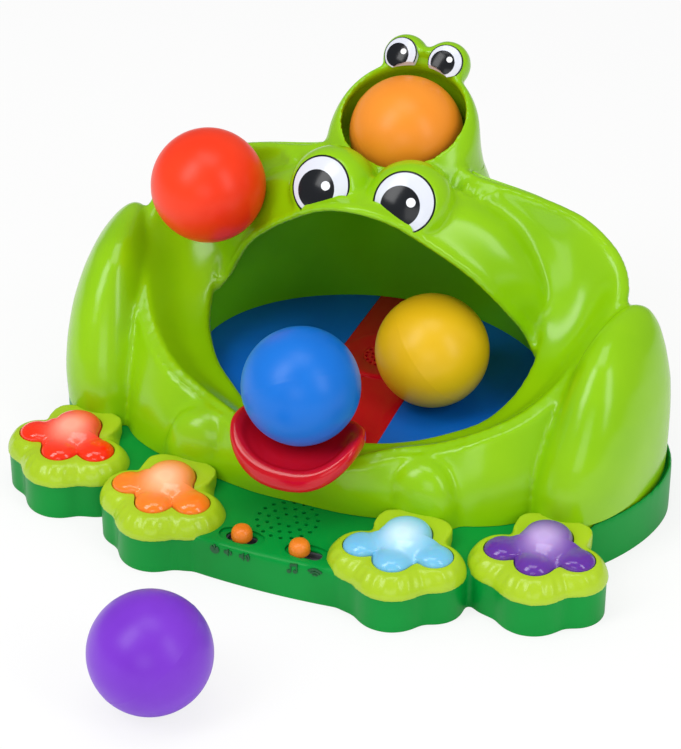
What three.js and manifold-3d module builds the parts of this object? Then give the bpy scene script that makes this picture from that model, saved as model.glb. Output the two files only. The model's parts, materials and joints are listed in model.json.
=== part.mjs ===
// Ball popper toy: a frog housing that blows soft balls up through the small frog on its head.
// Millimetres, +Z up. The origin is on the floor in the toy's middle plane, and -Y is the front.
import * as THREE from "three";
import { mergeVertices } from "three/addons/utils/BufferGeometryUtils.js";
import Module from "manifold-3d";

const wasm = await Module();
wasm.setup();

// Driving sizes of the whole toy
const ballDiameter = 64;
const halfWidth = 180; // middle plane to the side of the base
const shellDepth = 260; // length that front to back places are shares of
const shellHeight = 172; // floor to the top of the shoulders
const wall = 2.4; // moulded wall
const gap = 0.3; // clearance between pieces that rest on each other
const slip = 0.5; // clearance round pieces that slide or turn
const overrun = 6; // how far a cutting tool reaches past the wall that it cuts

// Base
const deckHeight = 24;
const skirtHeight = 30; // side of the base round the shells
// Its outline: front, widest place, rear and panel front as shares of the length, then the panel's half width
const baseShares = [0.40769, 0.12308, 0.54615, 0.45, 0.34444];
const baseFront = baseShares[0] * shellDepth; // front of the main outline, forward of the middle
const baseWidestY = baseShares[1] * shellDepth;
const basePower = 1.85; // exponent of its outline: 2 is an ellipse
const panelFront = baseShares[3] * shellDepth; // front edge of the switch panel
const panelHalfWidth = baseShares[4] * halfWidth;
const baseRear = baseShares[2] * shellDepth;
const skirtWall = 2;
const deckOpeningShares = [0.46667, 0.27692];
const deckOpeningHalfWidth = deckOpeningShares[0] * halfWidth;
const deckOpeningHalfDepth = deckOpeningShares[1] * shellDepth;

// Feet: each is a heel, a palm and three toes, and an inner foot keeps its distance from its arm
const outerFootShares = [0.77222, -0.25385];
const innerFootShare = 0.38333;
const armShare = -0.192;
const armToFoot = 41.08;
const outerFootX = outerFootShares[0] * halfWidth;
const outerFootY = outerFootShares[1] * shellDepth;
const innerFootX = innerFootShare * halfWidth;
const innerFootY = armShare * shellDepth - armToFoot;
const toeRadius = 10;
const heelRadius = 13;
const palmRadius = 16;
const toeSpread = 19.5;
const outerToeY = -1;
const innerToeY = -6;
const frontToeY = -12.5;
const heelY = 11;
const outerToeShare = 0.75; // how much of a margin the toes take
const frontToeShare = 1.15;
const innerToeShare = 0.9;
const webBlend = 14; // exponent of the soft union of the toes
const bezelMargin = 7.3; // lime rim round the button
const ankleWiden = 8; // how far the ankle block reaches past the heel on each side
const lobeMargin = 8.8; // dark rim of the base under it
const bezelHeight = 7.5;
const bezelShoulderShare = 0.5; // height at which the rim starts to slope in
const bezelSlope = 3.4;
const buttonRise = 5; // dome above the rim
const buttonTravel = 2.5;
const plungerRadius = 3;

// Mouth
const floorShares = [0.16346, 0.6, 0.33846, 0.25581, 0.24231]; // middle, half sizes, top and nozzle
const mouthMiddleY = floorShares[0] * shellDepth;
const floorHalfWidth = floorShares[1] * halfWidth;
const floorHalfDepth = floorShares[2] * shellDepth;
const floorTop = floorShares[3] * shellHeight;
const floorThickness = 2.4;
const stripHalfWidth = 27;
const stripThickness = 0.8;
const nozzleY = floorShares[4] * shellDepth;
const nozzleSeatRadius = 22;
const nozzleHoleRadius = 13;

// Small frog: a ring mouth whose plane leans back
const ringLean = THREE.MathUtils.degToRad(31.7);
const ringShares = [0.34615, 1.09593, 0.88372]; // place behind, height, and height of the neck's root
const ringY = ringShares[0] * shellDepth;
const ringZ = ringShares[1] * shellHeight;
const ringClearance = 2.5; // between the ball and the ring's bore
const ringRadius = ballDiameter / 2 + ringClearance + wall;
const neckBulge = 6.5; // how far the neck swells past the ring
const neckRootZ = ringShares[2] * shellHeight;

// Tongue, placed from the middle of the lower lip's crest
const lipShares = [0, -0.246, 0.302];
const lipY = lipShares[1] * shellDepth;
const lipZ = lipShares[2] * shellHeight;
const tongueHalfWidth = 35;
const tongueBehindLip = 24;
const tongueBeforeLip = 27;
const tongueOverLip = 14;
const tongueBack = lipY + tongueBehindLip;
const tongueFront = lipY - tongueBeforeLip;
const tongueTop = lipZ + tongueOverLip;
const tongueDroop = 16;
const tongueSideDroop = 2;
const stemDepth = 7;
const fingerX = 14;
const fingerBehindLip = 10;
const fingerReach = 15; // below the pin
const tongueGive = 1.4; // room under the finger at rest
const switchHalf = 3.5;
const springRadius = 4.5;
const springWire = 0.7;
const springBehindLip = 11;
const springRoom = 5.5; // from the top of the tongue's middle to the spring
const springY = lipY + springBehindLip;
const springTop = tongueTop - springRoom;
const springTurns = 5;
const springSteps = 8;
const pinSlip = 0.06; // running fit of a pin in its hole
const hingeBehindLip = 20;
const hingeY = lipY + hingeBehindLip;
const hingeZ = lipZ;
const fingerY = lipY + fingerBehindLip;
const fingerBottom = hingeZ - fingerReach;
const pinRadius = 1.5;
const hingeHalfWidth = 22;

// Eyes
const bigEyeRadius = 17;
const bigEyeShares = [0.135, 0.1, 0.99419];
const bigEyeX = bigEyeShares[0] * halfWidth;
const bigEyeY = bigEyeShares[1] * shellDepth;
const bigEyeZ = bigEyeShares[2] * shellHeight;
const smallEyeRadius = 9;
const smallEyeX = 14;
const smallEyeBehindRing = 28;
const smallEyeOverRing = 21.5;
const smallEyeY = ringY + smallEyeBehindRing;
const smallEyeZ = ringZ + smallEyeOverRing;
const eyeThickness = 3.2;
const lipBead = 3.5; // extra thickness of the upper jaw's edge
const pinBoss = 5;
const switchHeight = 5;
const keyRadius = 3;
const lampRadius = 2.5;
const lampPlace = 7;

// Controls on the panel
const volumeX = -17;
const modeX = 16.5;
const knobRoom = 13.5; // from the panel's front edge
const knobY = knobRoom - panelFront;
const knobRadius = 5.6;
const knobRise = 7.5;
const volumeStep = 5; // from the middle place to each end
const modeTravel = 9;
const slotHalfWidth = 4;
const stemHalfWidth = 2.4;

// Blower, under the nozzle
const blowerShare = -0.23333; // of the half width
const blowerX = blowerShare * halfWidth;
const blowerRadius = 30;
const blowerDrop = 22; // below the mouth's floor
const blowerBottom = floorTop - blowerDrop;
const blowerHeight = 15.5;
const impellerRadius = 25;
const impellerHeight = 9;
const bladeCount = 8;
const bladeThickness = 1.6;
const motorRadius = 12;
const shaftRadius = 1.2;

// Batteries and boards
const cellRadius = 7.25;
const cellLength = 50;
const cellPitch = 15.3;
const cellCount = 4;
const cellsShares = [0.62222, 0.01923];
const cellsX = cellsShares[0] * halfWidth;
const cellsY = cellsShares[1] * shellDepth;
const doorScrewRoom = 9; // length of the bay for the door's screw
const boardThickness = 1.6;
const boardHeight = 11;
const screwHeadRadius = 3.2;
const screwRadius = 1.5;
const screwLength = 12;
const nippleLength = 1;
const nippleRadius = 2.75;
const contactThickness = 0.6;
const bossRadius = 4;

const paints = {
  lime: [0x93d10a, 0.25],
  footLime: [0xa0dc1e, 0.3],
  green: [0x009a3c, 0.45],
  liner: [0x4f9a0c, 0.5],
  blue: [0x0050a8, 0.35],
  red: [0xd2142d, 0.2],
  orange: [0xf08c28, 0.35],
  white: [0xeef0fa, 0.2],
  grey: [0x55585c, 0.6],
  board: [0x1f6b3a, 0.6],
  steel: [0xb8bcc2, 0.35],
};
const paint = (name) => {
  const [color, roughness] = paints[name];
  return new THREE.MeshStandardMaterial({ color, roughness, metalness: name === "steel" ? 1 : 0 });
};
const tint = (color, roughness) => new THREE.MeshStandardMaterial({ color, roughness, metalness: 0 });

const toy = new THREE.Group();
const vec = (x, y, z) => new THREE.Vector3(x, y, z);
const mergeDistance = 1e-3;

// A closed geometry as a solid that can be joined and cut
function solidOf(geometry, matrix) {
  const bare = geometry.clone();
  if (matrix) bare.applyMatrix4(matrix);
  for (const name of ["normal", "uv"]) bare.deleteAttribute(name);
  const merged = mergeVertices(bare, mergeDistance);
  const solid = new wasm.Manifold(
    new wasm.Mesh({
      numProp: 3,
      vertProperties: new Float32Array(merged.attributes.position.array),
      triVerts: new Uint32Array(merged.index.array),
    }),
  );
  return solid;
}

function geometryOf(solid) {
  const mesh = solid.getMesh();
  const geometry = new THREE.BufferGeometry();
  geometry.setAttribute("position", new THREE.BufferAttribute(mesh.vertProperties, 3));
  geometry.setIndex(new THREE.BufferAttribute(mesh.triVerts, 1));
  geometry.computeVertexNormals();
  return geometry;
}

// The one body of a cut piece that matters: slivers that the cut leaves loose are dropped
function mainBody(solid) {
  const bodies = solid.decompose();
  return bodies.reduce((best, body) => (body.volume() > best.volume() ? body : best), bodies[0]);
}

function add(name, solid, material) {
  const mesh = new THREE.Mesh(geometryOf(mainBody(solid)), material);
  mesh.name = name;
  toy.add(mesh);
  return mesh;
}

const join = (...solids) => solids.reduce((sum, solid) => sum.add(solid));
const cut = (solid, ...tools) => tools.reduce((rest, tool) => rest.subtract(tool), solid);

// Closes a skin of points and triangles, with its faces pointing out
function skin(points, index) {
  let volume = 0;
  for (let i = 0; i < index.length; i += 3) {
    const [a, b, c] = [points[index[i]], points[index[i + 1]], points[index[i + 2]]];
    volume += a.dot(b.clone().cross(c));
  }
  if (volume < 0) index.reverse();
  const geometry = new THREE.BufferGeometry().setFromPoints(points);
  geometry.setIndex(index);
  return solidOf(geometry);
}

// Rings of points, each with the same count, joined into one closed body with fanned ends
function loft(rings) {
  const count = rings[0].length;
  const points = rings.flat();
  const index = [];
  for (let k = 0; k < rings.length - 1; k++)
    for (let i = 0; i < count; i++) {
      const a = k * count + i;
      const b = k * count + ((i + 1) % count);
      index.push(a, b, b + count, a, b + count, a + count);
    }
  const last = points.length - count;
  for (const [first, flip] of [[0, true], [last, false]]) {
    const middle = vec(0, 0, 0);
    for (let i = 0; i < count; i++) middle.addScaledVector(points[first + i], 1 / count);
    points.push(middle);
    for (let i = 0; i < count; i++) {
      const [a, b] = [first + i, first + ((i + 1) % count)];
      index.push(...(flip ? [points.length - 1, b, a] : [points.length - 1, a, b]));
    }
  }
  return skin(points, index);
}

// A thin moulded wall: a grid of points, thickened along its normals by over and under
function sheet(rows, over, under) {
  const [n, m] = [rows.length, rows[0].length];
  const top = [];
  const bottom = [];
  for (let i = 0; i < n; i++)
    for (let j = 0; j < m; j++) {
      const along = rows[Math.min(i + 1, n - 1)][j].clone().sub(rows[Math.max(i - 1, 0)][j]);
      const across = rows[i][Math.min(j + 1, m - 1)].clone().sub(rows[i][Math.max(j - 1, 0)]);
      const normal = along.cross(across).normalize();
      const depth = typeof under === "function" ? under(i / (n - 1), j / (m - 1)) : under;
      top.push(rows[i][j].clone().addScaledVector(normal, over));
      bottom.push(rows[i][j].clone().addScaledVector(normal, -depth));
    }
  const points = [...top, ...bottom];
  const index = [];
  const quad = (a, b, c, d) => index.push(a, b, c, a, c, d);
  const low = n * m;
  for (let i = 0; i < n - 1; i++)
    for (let j = 0; j < m - 1; j++) {
      const a = i * m + j;
      quad(a, a + m, a + m + 1, a + 1);
      quad(low + a, low + a + 1, low + a + m + 1, low + a + m);
    }
  for (let i = 0; i < n - 1; i++) {
    const [a, b] = [i * m, i * m + m - 1];
    quad(a, low + a, low + a + m, a + m);
    quad(b, b + m, low + b + m, low + b);
  }
  for (let j = 0; j < m - 1; j++) {
    const [a, b] = [j, (n - 1) * m + j];
    quad(a, a + 1, low + a + 1, low + a);
    quad(b, low + b, low + b + 1, b + 1);
  }
  return skin(points, index);
}

const through = (points) => new THREE.CatmullRomCurve3(points, false, "centripetal");

// A surface through rails: curves that run along it, each through the same number of places
function surface(rails, alongCount, acrossCount) {
  const curves = rails.map(through);
  const rows = [];
  for (let i = 0; i <= alongCount; i++) {
    const across = through(curves.map((curve) => curve.getPoint(i / alongCount)));
    rows.push(Array.from({ length: acrossCount + 1 }, (_, j) => across.getPoint(j / acrossCount)));
  }
  return rows;
}

const mirrored = (p) => vec(-p.x, p.y, p.z);
// A rail of the right half, carried over the middle plane to the left half
const bothSides = (rail) => [...rail.slice(1).reverse().map(mirrored), ...rail];
const bothEnds = (rail) => [...rail, ...rail.slice(0, -1).reverse().map(mirrored)];

function prism(shape, bottom, top, curveSegments = 12) {
  const depth = top - bottom;
  const geometry = new THREE.ExtrudeGeometry(shape, { depth, bevelEnabled: false, curveSegments });
  return solidOf(geometry, new THREE.Matrix4().makeTranslation(0, 0, bottom));
}

function disc(x, y, radius, bottom, top, sides = 20) {
  const geometry = new THREE.CylinderGeometry(radius, radius, top - bottom, sides);
  const matrix = new THREE.Matrix4().makeRotationX(Math.PI / 2);
  matrix.setPosition(x, y, (bottom + top) / 2);
  return solidOf(geometry, matrix);
}

function block(x0, x1, y0, y1, z0, z1) {
  const geometry = new THREE.BoxGeometry(x1 - x0, y1 - y0, z1 - z0);
  return solidOf(
    geometry,
    new THREE.Matrix4().makeTranslation((x0 + x1) / 2, (y0 + y1) / 2, (z0 + z1) / 2),
  );
}

// A rod from one point to another
function rod(from, to, radius, sides = 12) {
  const along = to.clone().sub(from);
  const geometry = new THREE.CylinderGeometry(radius, radius, along.length(), sides);
  const turn = new THREE.Quaternion().setFromUnitVectors(vec(0, 1, 0), along.clone().normalize());
  const matrix = new THREE.Matrix4().compose(
    from.clone().add(to).multiplyScalar(0.5), turn, vec(1, 1, 1),
  );
  return solidOf(geometry, matrix);
}

const polygon = (points) => new THREE.Shape(points.map((p) => new THREE.Vector2(p.x, p.y)));

function ellipse(x, y, rx, ry, z, sides, power = 2) {
  const bend = (value) => Math.sign(value) * Math.abs(value) ** (2 / power);
  return Array.from({ length: sides }, (_, i) => {
    const angle = (i / sides) * Math.PI * 2;
    return vec(x + rx * bend(Math.cos(angle)), y + ry * bend(Math.sin(angle)), z);
  });
}

// Outline of the base without its lobes: two half ovals that meet at the widest place
function baseOutline(inset, sides = 48) {
  return polygon(ellipse(0, 0, 1, 1, 0, sides, basePower).map((p) => {
    const reach = p.y < 0 ? baseFront + baseWidestY : baseRear - baseWidestY;
    return vec(p.x * (halfWidth - inset), baseWidestY + p.y * (reach - inset), 0);
  }));
}

// Webbed foot outline: the soft union of the heel, the palm and three toes, seen from the foot's middle
function footOutline(side, margin, sides = 26) {
  const circles = [
    [side * toeSpread, outerToeY, toeRadius, outerToeShare],
    [0, frontToeY, toeRadius, frontToeShare],
    [-side * toeSpread, innerToeY, toeRadius, innerToeShare],
    [0, heelY, heelRadius, 1],
    [0, 0, palmRadius, 1],
  ];
  return Array.from({ length: sides }, (_, i) => {
    const angle = (i / sides) * Math.PI * 2;
    const [dx, dy] = [Math.cos(angle), Math.sin(angle)];
    let sum = 0;
    for (const [cx, cy, radius, marginShare] of circles) {
      const reach = (radius + margin * marginShare) ** 2 - (cx * dy - cy * dx) ** 2;
      const out = cx * dx + cy * dy + Math.sqrt(Math.max(reach, 0));
      if (reach > 0 && out > 0) sum += out ** webBlend;
    }
    const radius = sum ** (1 / webBlend);
    return vec(radius * dx, radius * dy, 0);
  });
}

const feet = [
  { name: "outer_left", x: -outerFootX, y: outerFootY, side: -1, color: 0xff5014 },
  { name: "inner_left", x: -innerFootX, y: innerFootY, side: -1, color: 0xfa9632 },
  { name: "inner_right", x: innerFootX, y: innerFootY, side: 1, color: 0x96d7f0 },
  { name: "outer_right", x: outerFootX, y: outerFootY, side: 1, color: 0x7d46b4 },
];
const footRing = (foot, margin, z) =>
  footOutline(foot.side, margin).map((p) => vec(foot.x + p.x, foot.y + p.y, z));

function panelOutline(inset) {
  const shape = new THREE.Shape();
  const [half, front] = [panelHalfWidth - inset, panelFront - inset];
  shape.moveTo(-half, -front + overrun);
  shape.quadraticCurveTo(0, -front - overrun / 2, half, -front + overrun);
  shape.lineTo(half, 0);
  shape.lineTo(-half, 0);
  return shape;
}

function baseBody(inset, bottom, top) {
  const lobes = feet.map((foot) => loft([
    footRing(foot, lobeMargin - inset, bottom), footRing(foot, lobeMargin - inset, top),
  ]));
  return join(prism(baseOutline(inset), bottom, top), prism(panelOutline(inset), bottom, top, 6), ...lobes);
}

// Places on the shells, as shares of [halfWidth, shellDepth, shellHeight]
const place = ([x, y, z]) => vec(x * halfWidth, y * shellDepth, z * shellHeight);
const shellBottom = deckHeight + gap;
const onDeck = ([x, y]) => vec(x * halfWidth, y * shellDepth, shellBottom);

// Crest of the lower lip and of the shoulders, from the middle of the front round to the neck
const rimShares = [
  lipShares, [0.15, -0.231, 0.314], [0.261, -0.188, 0.337], [0.383, -0.146, 0.349],
  [0.511, -0.115, 0.401], [0.622, -0.05, 0.448], [0.706, 0.031, 0.529], [0.786, 0.192, 0.68],
  [0.747, 0.267, 0.773], [0.625, 0.304, 0.862], [0.472, 0.288, 0.932], [0.289, 0.277, 0.97],
];
// Edge of the mouth in front, which runs on as the valley between the hood and the shoulder track
const mouthShares = [
  [0, -0.146, 0.279], [0.15, -0.127, 0.279], [0.278, -0.081, 0.276], [0.378, -0.015, 0.276],
  [0.461, 0.035, 0.302], [0.522, 0.088, 0.366], [0.55, 0.146, 0.442], [0.55, 0.2, 0.552],
  [0.517, 0.242, 0.674], [0.461, 0.254, 0.791], [0.389, 0.258, 0.883], [0.278, 0.254, 0.945],
];
// How far the track sags below the straight line from the mouth edge to the crest
const trackSagShares = [0.01, 0.01, 0.012, 0.02, 0.03, 0.035, 0.045, 0.05, 0.05, 0.045, 0.03, 0.01];
// Foot of the front wall on the deck
const frontFootShares = [
  [0, -0.231], [0.15, -0.227], [0.261, -0.219], [0.383, -0.2], [0.511, -0.181], [0.622, -0.138],
  [0.706, -0.038], [0.778, 0.154],
];
// Edge of the upper jaw, from its middle down to the corner of the mouth
const archShares = [
  [0, 0.054, 0.953], [0.117, 0.067, 0.922], [0.217, 0.085, 0.855], [0.306, 0.108, 0.779],
  [0.378, 0.127, 0.703], [0.444, 0.158, 0.605], [0.494, 0.185, 0.529], [0.533, 0.196, 0.483],
];
// Root of the hood, at the neck and along the valley
const hoodRootShares = [
  [0, 0.277, 0.95], [0.139, 0.269, 0.945], [0.278, 0.254, 0.938], [0.389, 0.258, 0.878],
  [0.461, 0.254, 0.791], [0.517, 0.242, 0.674], [0.533, 0.219, 0.587], [0.541, 0.196, 0.535],
];
const seam = 1.2; // from the hood to the valley
const hoodBulgeShares = [0.015, 0.025, 0.04, 0.045, 0.04, 0.04, 0.03, 0.015];
// Rear shell: its top edge behind the shoulders and the neck, and its foot on the deck
const rearTopShares = [
  [0.786, 0.198, 0.68], [0.747, 0.274, 0.773], [0.625, 0.312, 0.862], [0.472, 0.299, 0.932],
  [0.289, 0.296, 0.96], [0.275, 0.365, 0.92], [0.178, 0.455, 0.91], [0, 0.488, 0.91],
];
const rearFootShares = [
  [0.94, 0.2], [0.861, 0.3], [0.75, 0.378], [0.594, 0.448], [0.431, 0.493], [0.278, 0.519],
  [0.134, 0.532], [0, 0.536],
];
const rearBulgeShares = [-0.03, -0.005, 0.025, 0.035, 0.04, 0.04, 0.04, 0.04];
const frontWallBulge = 3;

// Thigh sections: [height, middle x, middle y, half width, half depth] as shares of the shell's sizes
const thighShares = [
  [0.141, 0.796, 0.064, 0.143, 0.205], [0.252, 0.808, 0.06, 0.141, 0.2], [0.358, 0.819, 0.066, 0.133, 0.19],
  [0.464, 0.827, 0.082, 0.12, 0.172], [0.555, 0.828, 0.098, 0.102, 0.15], [0.629, 0.828, 0.116, 0.079, 0.124],
  [0.678, 0.825, 0.133, 0.05, 0.09], [0.702, 0.821, 0.146, 0.025, 0.05], [0.71, 0.818, 0.152, 0.005, 0.01],
];
const armShares = [
  [0.141, 0.367, armShare, 0.122, 0.046], [0.209, 0.367, armShare, 0.111, 0.046],
  [0.267, 0.361, -0.19, 0.1, 0.042], [0.308, 0.361, -0.185, 0.078, 0.035],
  [0.331, 0.361, -0.181, 0.05, 0.025], [0.343, 0.361, -0.177, 0.017, 0.012],
];
const limbPower = 2.2;
const thighTurn = THREE.MathUtils.degToRad(11); // its front end leans towards the middle

function limb(shares, side, grow, bottom, sides = 16) {
  const last = shares.length - 1;
  const sections = bottom < shellBottom ? [shares[0], ...shares] : shares;
  const turn = shares === thighShares ? side * thighTurn : 0;
  const rings = sections.map(([z, x, y, rx, ry], k) => {
    const height = k === 0 ? bottom : z * shellHeight + (grow * k) / last;
    const middle = vec(side * x * halfWidth, y * shellDepth, height);
    const [reachX, reachY] = [rx * halfWidth, ry * shellDepth].map((reach) => Math.max(reach + grow, gap));
    return ellipse(0, 0, reachX, reachY, 0, sides, limbPower)
      .map((p) => p.applyAxisAngle(vec(0, 0, 1), -turn).add(middle));
  });
  return loft(rings);
}

// Rail between two others, moved off the line between them
function between(first, second, offset) {
  return first.map((p, k) => p.clone().lerp(second[k], 0.5).add(offset(k, p, second[k])));
}

// Outer surface of the shoulder track: mouth edge, sag, crest
function trackRows(alongCount, acrossCount) {
  const edge = mouthShares.map(place);
  const crest = rimShares.map(place);
  const sag = between(edge, crest, (k) => vec(0, 0, -trackSagShares[k] * shellHeight));
  return surface([edge, sag, crest].map(bothSides), alongCount, acrossCount);
}

function frontWallRows(alongCount, acrossCount) {
  const foot = frontFootShares.map(onDeck);
  const crest = rimShares.slice(0, foot.length).map(place);
  const middle = between(crest, foot, (k, p) =>
    vec(p.x, p.y - mouthMiddleY, 0).normalize().multiplyScalar(k === 0 ? 0 : frontWallBulge));
  return surface([crest, middle, foot].map(bothSides), alongCount, acrossCount);
}

function hoodRows(alongCount, acrossCount) {
  const arch = archShares.map(place);
  const root = hoodRootShares.map(place);
  const middle = between(arch, root, (k, p) =>
    vec(p.x, 0, p.z - floorTop).normalize().multiplyScalar(hoodBulgeShares[k] * shellHeight));
  const tail = root.map((p, k) => p.clone().addScaledVector(p.clone().sub(middle[k]).normalize(), -seam));
  return surface([arch, middle, tail].map(bothSides), alongCount, acrossCount);
}

function rearRows(alongCount, acrossCount) {
  const top = rearTopShares.map(place);
  const foot = rearFootShares.map(onDeck);
  const outward = (q) => vec(q.x, q.y - mouthMiddleY, 0).normalize().add(vec(0, 0, 0.5));
  const middle = between(top, foot, (k, p, q) =>
    outward(q).multiplyScalar(rearBulgeShares[k] * shellDepth));
  return surface([top, middle, foot].map(bothEnds), alongCount, acrossCount);
}

// Eye bosses and the seats that the eyes sit in
const bigEyeLook = (side) => vec(side * 0.1, -0.85, 0.52).normalize();
const smallEyeLook = (side) => vec(side * 0.12, -0.8, 0.59).normalize();
const bigBossRadius = 24.5;
const smallBossRadius = 12.8;
const bigBossBack = 16.5;
const smallBossBack = 8.5;

function ball(center, radius, across = 16, down = 10) {
  const geometry = new THREE.SphereGeometry(radius, across, down);
  const matrix = new THREE.Matrix4().makeRotationX(Math.PI / 2);
  matrix.setPosition(center);
  return solidOf(geometry, matrix);
}

function eyePlace(x, y, z, look, side) {
  const middle = vec(side * x, y, z);
  return { middle, look: look(side) };
}

function eyeSolid({ middle, look }, radius) {
  const profile = [[0, -eyeThickness], [radius, -eyeThickness], [radius, 0], [radius * 0.7, radius * 0.13],
    [0, radius * 0.21]].map(([r, h]) => new THREE.Vector2(r, h));
  const geometry = new THREE.LatheGeometry(profile, 20);
  const turn = new THREE.Quaternion().setFromUnitVectors(vec(0, 1, 0), look);
  return solidOf(geometry, new THREE.Matrix4().compose(middle, turn, vec(1, 1, 1)));
}

function eyeSeat({ middle, look }, radius) {
  const back = middle.clone().addScaledVector(look, -eyeThickness - gap);
  const front = middle.clone().addScaledVector(look, radius);
  return rod(back, front, radius + gap, 20);
}

const bigEyes = [-1, 1].map((side) => eyePlace(bigEyeX, bigEyeY, bigEyeZ, bigEyeLook, side));
const smallEyes = [-1, 1].map((side) => eyePlace(smallEyeX, smallEyeY, smallEyeZ, smallEyeLook, side));
const bossMiddle = (eye, back) => eye.middle.clone().addScaledVector(eye.look, -back);

// Neck of the small frog: sections lean back more and more towards the ring
function neckRing(z, y, lean, radius, sides = 24) {
  return ellipse(0, 0, radius, radius, 0, sides).map((p) =>
    p.applyAxisAngle(vec(1, 0, 0), lean).add(vec(0, y, z)));
}

function neckOutside(grow) {
  const swollen = ringRadius + neckBulge + grow;
  return loft([
    neckRing(neckRootZ - grow, ringY - neckBulge, 0, ringRadius + neckBulge / 2 + grow),
    neckRing(neckRootZ + neckBulge * 2, ringY - neckBulge * 0.2, ringLean * 0.35, swollen),
    neckRing(ringZ - neckBulge * 1.4, ringY, ringLean * 0.8, swollen - 1),
    neckRing(ringZ - neckBulge * 0.4, ringY, ringLean, ringRadius + neckBulge * 0.45 + grow),
    neckRing(ringZ + grow, ringY, ringLean, ringRadius + grow),
  ]);
}

function neckBore() {
  const bore = ringRadius - wall;
  const chamber = ringRadius + neckBulge - wall * 1.4;
  return loft([
    neckRing(neckRootZ - overrun, ringY - neckBulge / 2, 0, bore),
    neckRing(neckRootZ + wall, ringY - neckBulge / 2, 0, bore),
    neckRing(neckRootZ + neckBulge * 2, ringY - neckBulge * 0.2, ringLean * 0.35, chamber),
    neckRing(ringZ - neckBulge * 1.4, ringY, ringLean * 0.8, chamber - 1),
    neckRing(ringZ - neckBulge * 0.3, ringY, ringLean, bore),
    neckRing(ringZ + overrun * 2, ringY - overrun, ringLean, bore),
  ]);
}

// Slots and holes of the panel
function slotShape(x, y, halfLength, halfWidthOfSlot) {
  const shape = new THREE.Shape();
  shape.absarc(x + halfLength, y, halfWidthOfSlot, -Math.PI / 2, Math.PI / 2, false);
  shape.absarc(x - halfLength, y, halfWidthOfSlot, Math.PI / 2, Math.PI * 1.5, false);
  return shape;
}
const speakerRadius = 18;
const speakerHolesRadius = 16;
const speakerHolesRoom = 35; // from the panel's front edge
const speakerRoom = 40;
const speakerHolesY = speakerHolesRoom - panelFront;
const speakerY = speakerRoom - panelFront;
const speakerHeight = 10;
const speakerHoleRings = 2;
const speakerHoleRadius = 1.4;
const deckUnder = deckHeight - wall;

function deckCuts() {
  const tools = [
    prism(slotShape(volumeX, knobY, volumeStep, slotHalfWidth), deckUnder - overrun, deckHeight + overrun, 5),
    prism(
      slotShape(modeX + modeTravel / 2, knobY, modeTravel / 2, slotHalfWidth),
      deckUnder - overrun, deckHeight + overrun, 5,
    ),
    loft([deckUnder - overrun, skirtHeight + overrun].map((z) =>
      ellipse(0, mouthMiddleY, deckOpeningHalfWidth, deckOpeningHalfDepth, z, 32))),
  ];
  for (const foot of feet)
    tools.push(disc(foot.x, foot.y, plungerRadius + slip, deckUnder - overrun, deckHeight + overrun, 8));
  for (let ring = 1; ring <= speakerHoleRings; ring++)
    for (let k = 0; k < ring * 6; k++) {
      const angle = (k / (ring * 6)) * Math.PI * 2;
      const reach = (ring * speakerHolesRadius) / speakerHoleRings;
      tools.push(disc(
        reach * Math.cos(angle), speakerHolesY + reach * Math.sin(angle), speakerHoleRadius,
        deckUnder - overrun, deckHeight + overrun, 6,
      ));
    }
  return tools;
}

// Two screws in front, two at the sides and two behind, as shares of halfWidth and shellDepth
const screwShares = [[-0.583, -0.262], [0.583, -0.262], [-0.928, 0.164], [0.928, 0.164], [-0.4, 0.469],
  [0.4, 0.469]];
const screwPlaces = screwShares.map(([x, y]) => vec(x * halfWidth, y * shellDepth, 0));
const plateTop = wall;
const bossBottom = plateTop + gap;

function makeBase() {
  const skirt = cut(
    prism(baseOutline(0), deckUnder, skirtHeight),
    prism(baseOutline(skirtWall), deckHeight, skirtHeight + overrun),
    block(-halfWidth * 2, halfWidth * 2, -baseFront * 2, outerFootY / 2, deckHeight, skirtHeight + overrun),
  );
  const body = cut(
    join(cut(baseBody(0, 0, deckHeight), baseBody(wall, -overrun, deckUnder)), skirt), ...deckCuts(),
  );
  const bosses = screwPlaces.map((p) => disc(p.x, p.y, bossRadius, bossBottom, deckHeight - wall / 2, 8));
  const pilots = screwPlaces.map((p) => disc(p.x, p.y, screwRadius + gap, 0, screwLength + wall, 6));
  add("base_shell", cut(join(body, ...bosses), ...pilots), paint("green"));
}

// Battery bay: the door closes an opening in the bottom plate
const contactRoom = 4.5;
const bayHalfWidth = (cellCount * cellPitch) / 2 + wall;
const bayRear = cellsY + cellLength / 2 + contactRoom;
const bayFront = cellsY - cellLength / 2 - contactRoom - doorScrewRoom;
const doorScrewY = bayFront + bossRadius - gap;
const cellZ = plateTop + wall + cellRadius + gap;
const boardHalfWidth = 12;
const boardHalfDepth = 9;
const mainBoardShares = [-0.71111, 0.03077];
const mainBoardX = mainBoardShares[0] * halfWidth;
const mainBoardY = mainBoardShares[1] * shellDepth;
const mainBoardHalfWidth = 24;
const mainBoardHalfDepth = 22;
const postRadius = 2.5;
const ventCount = 4;
const ventWidth = 2.2;

const boardPosts = (x, y, halfX, halfY, top) => [[-1, -1], [1, 1], [-1, 1]].map(([i, j]) =>
  disc(x + i * halfX, y + j * halfY, postRadius, plateTop / 2, top - gap, 6));

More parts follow.
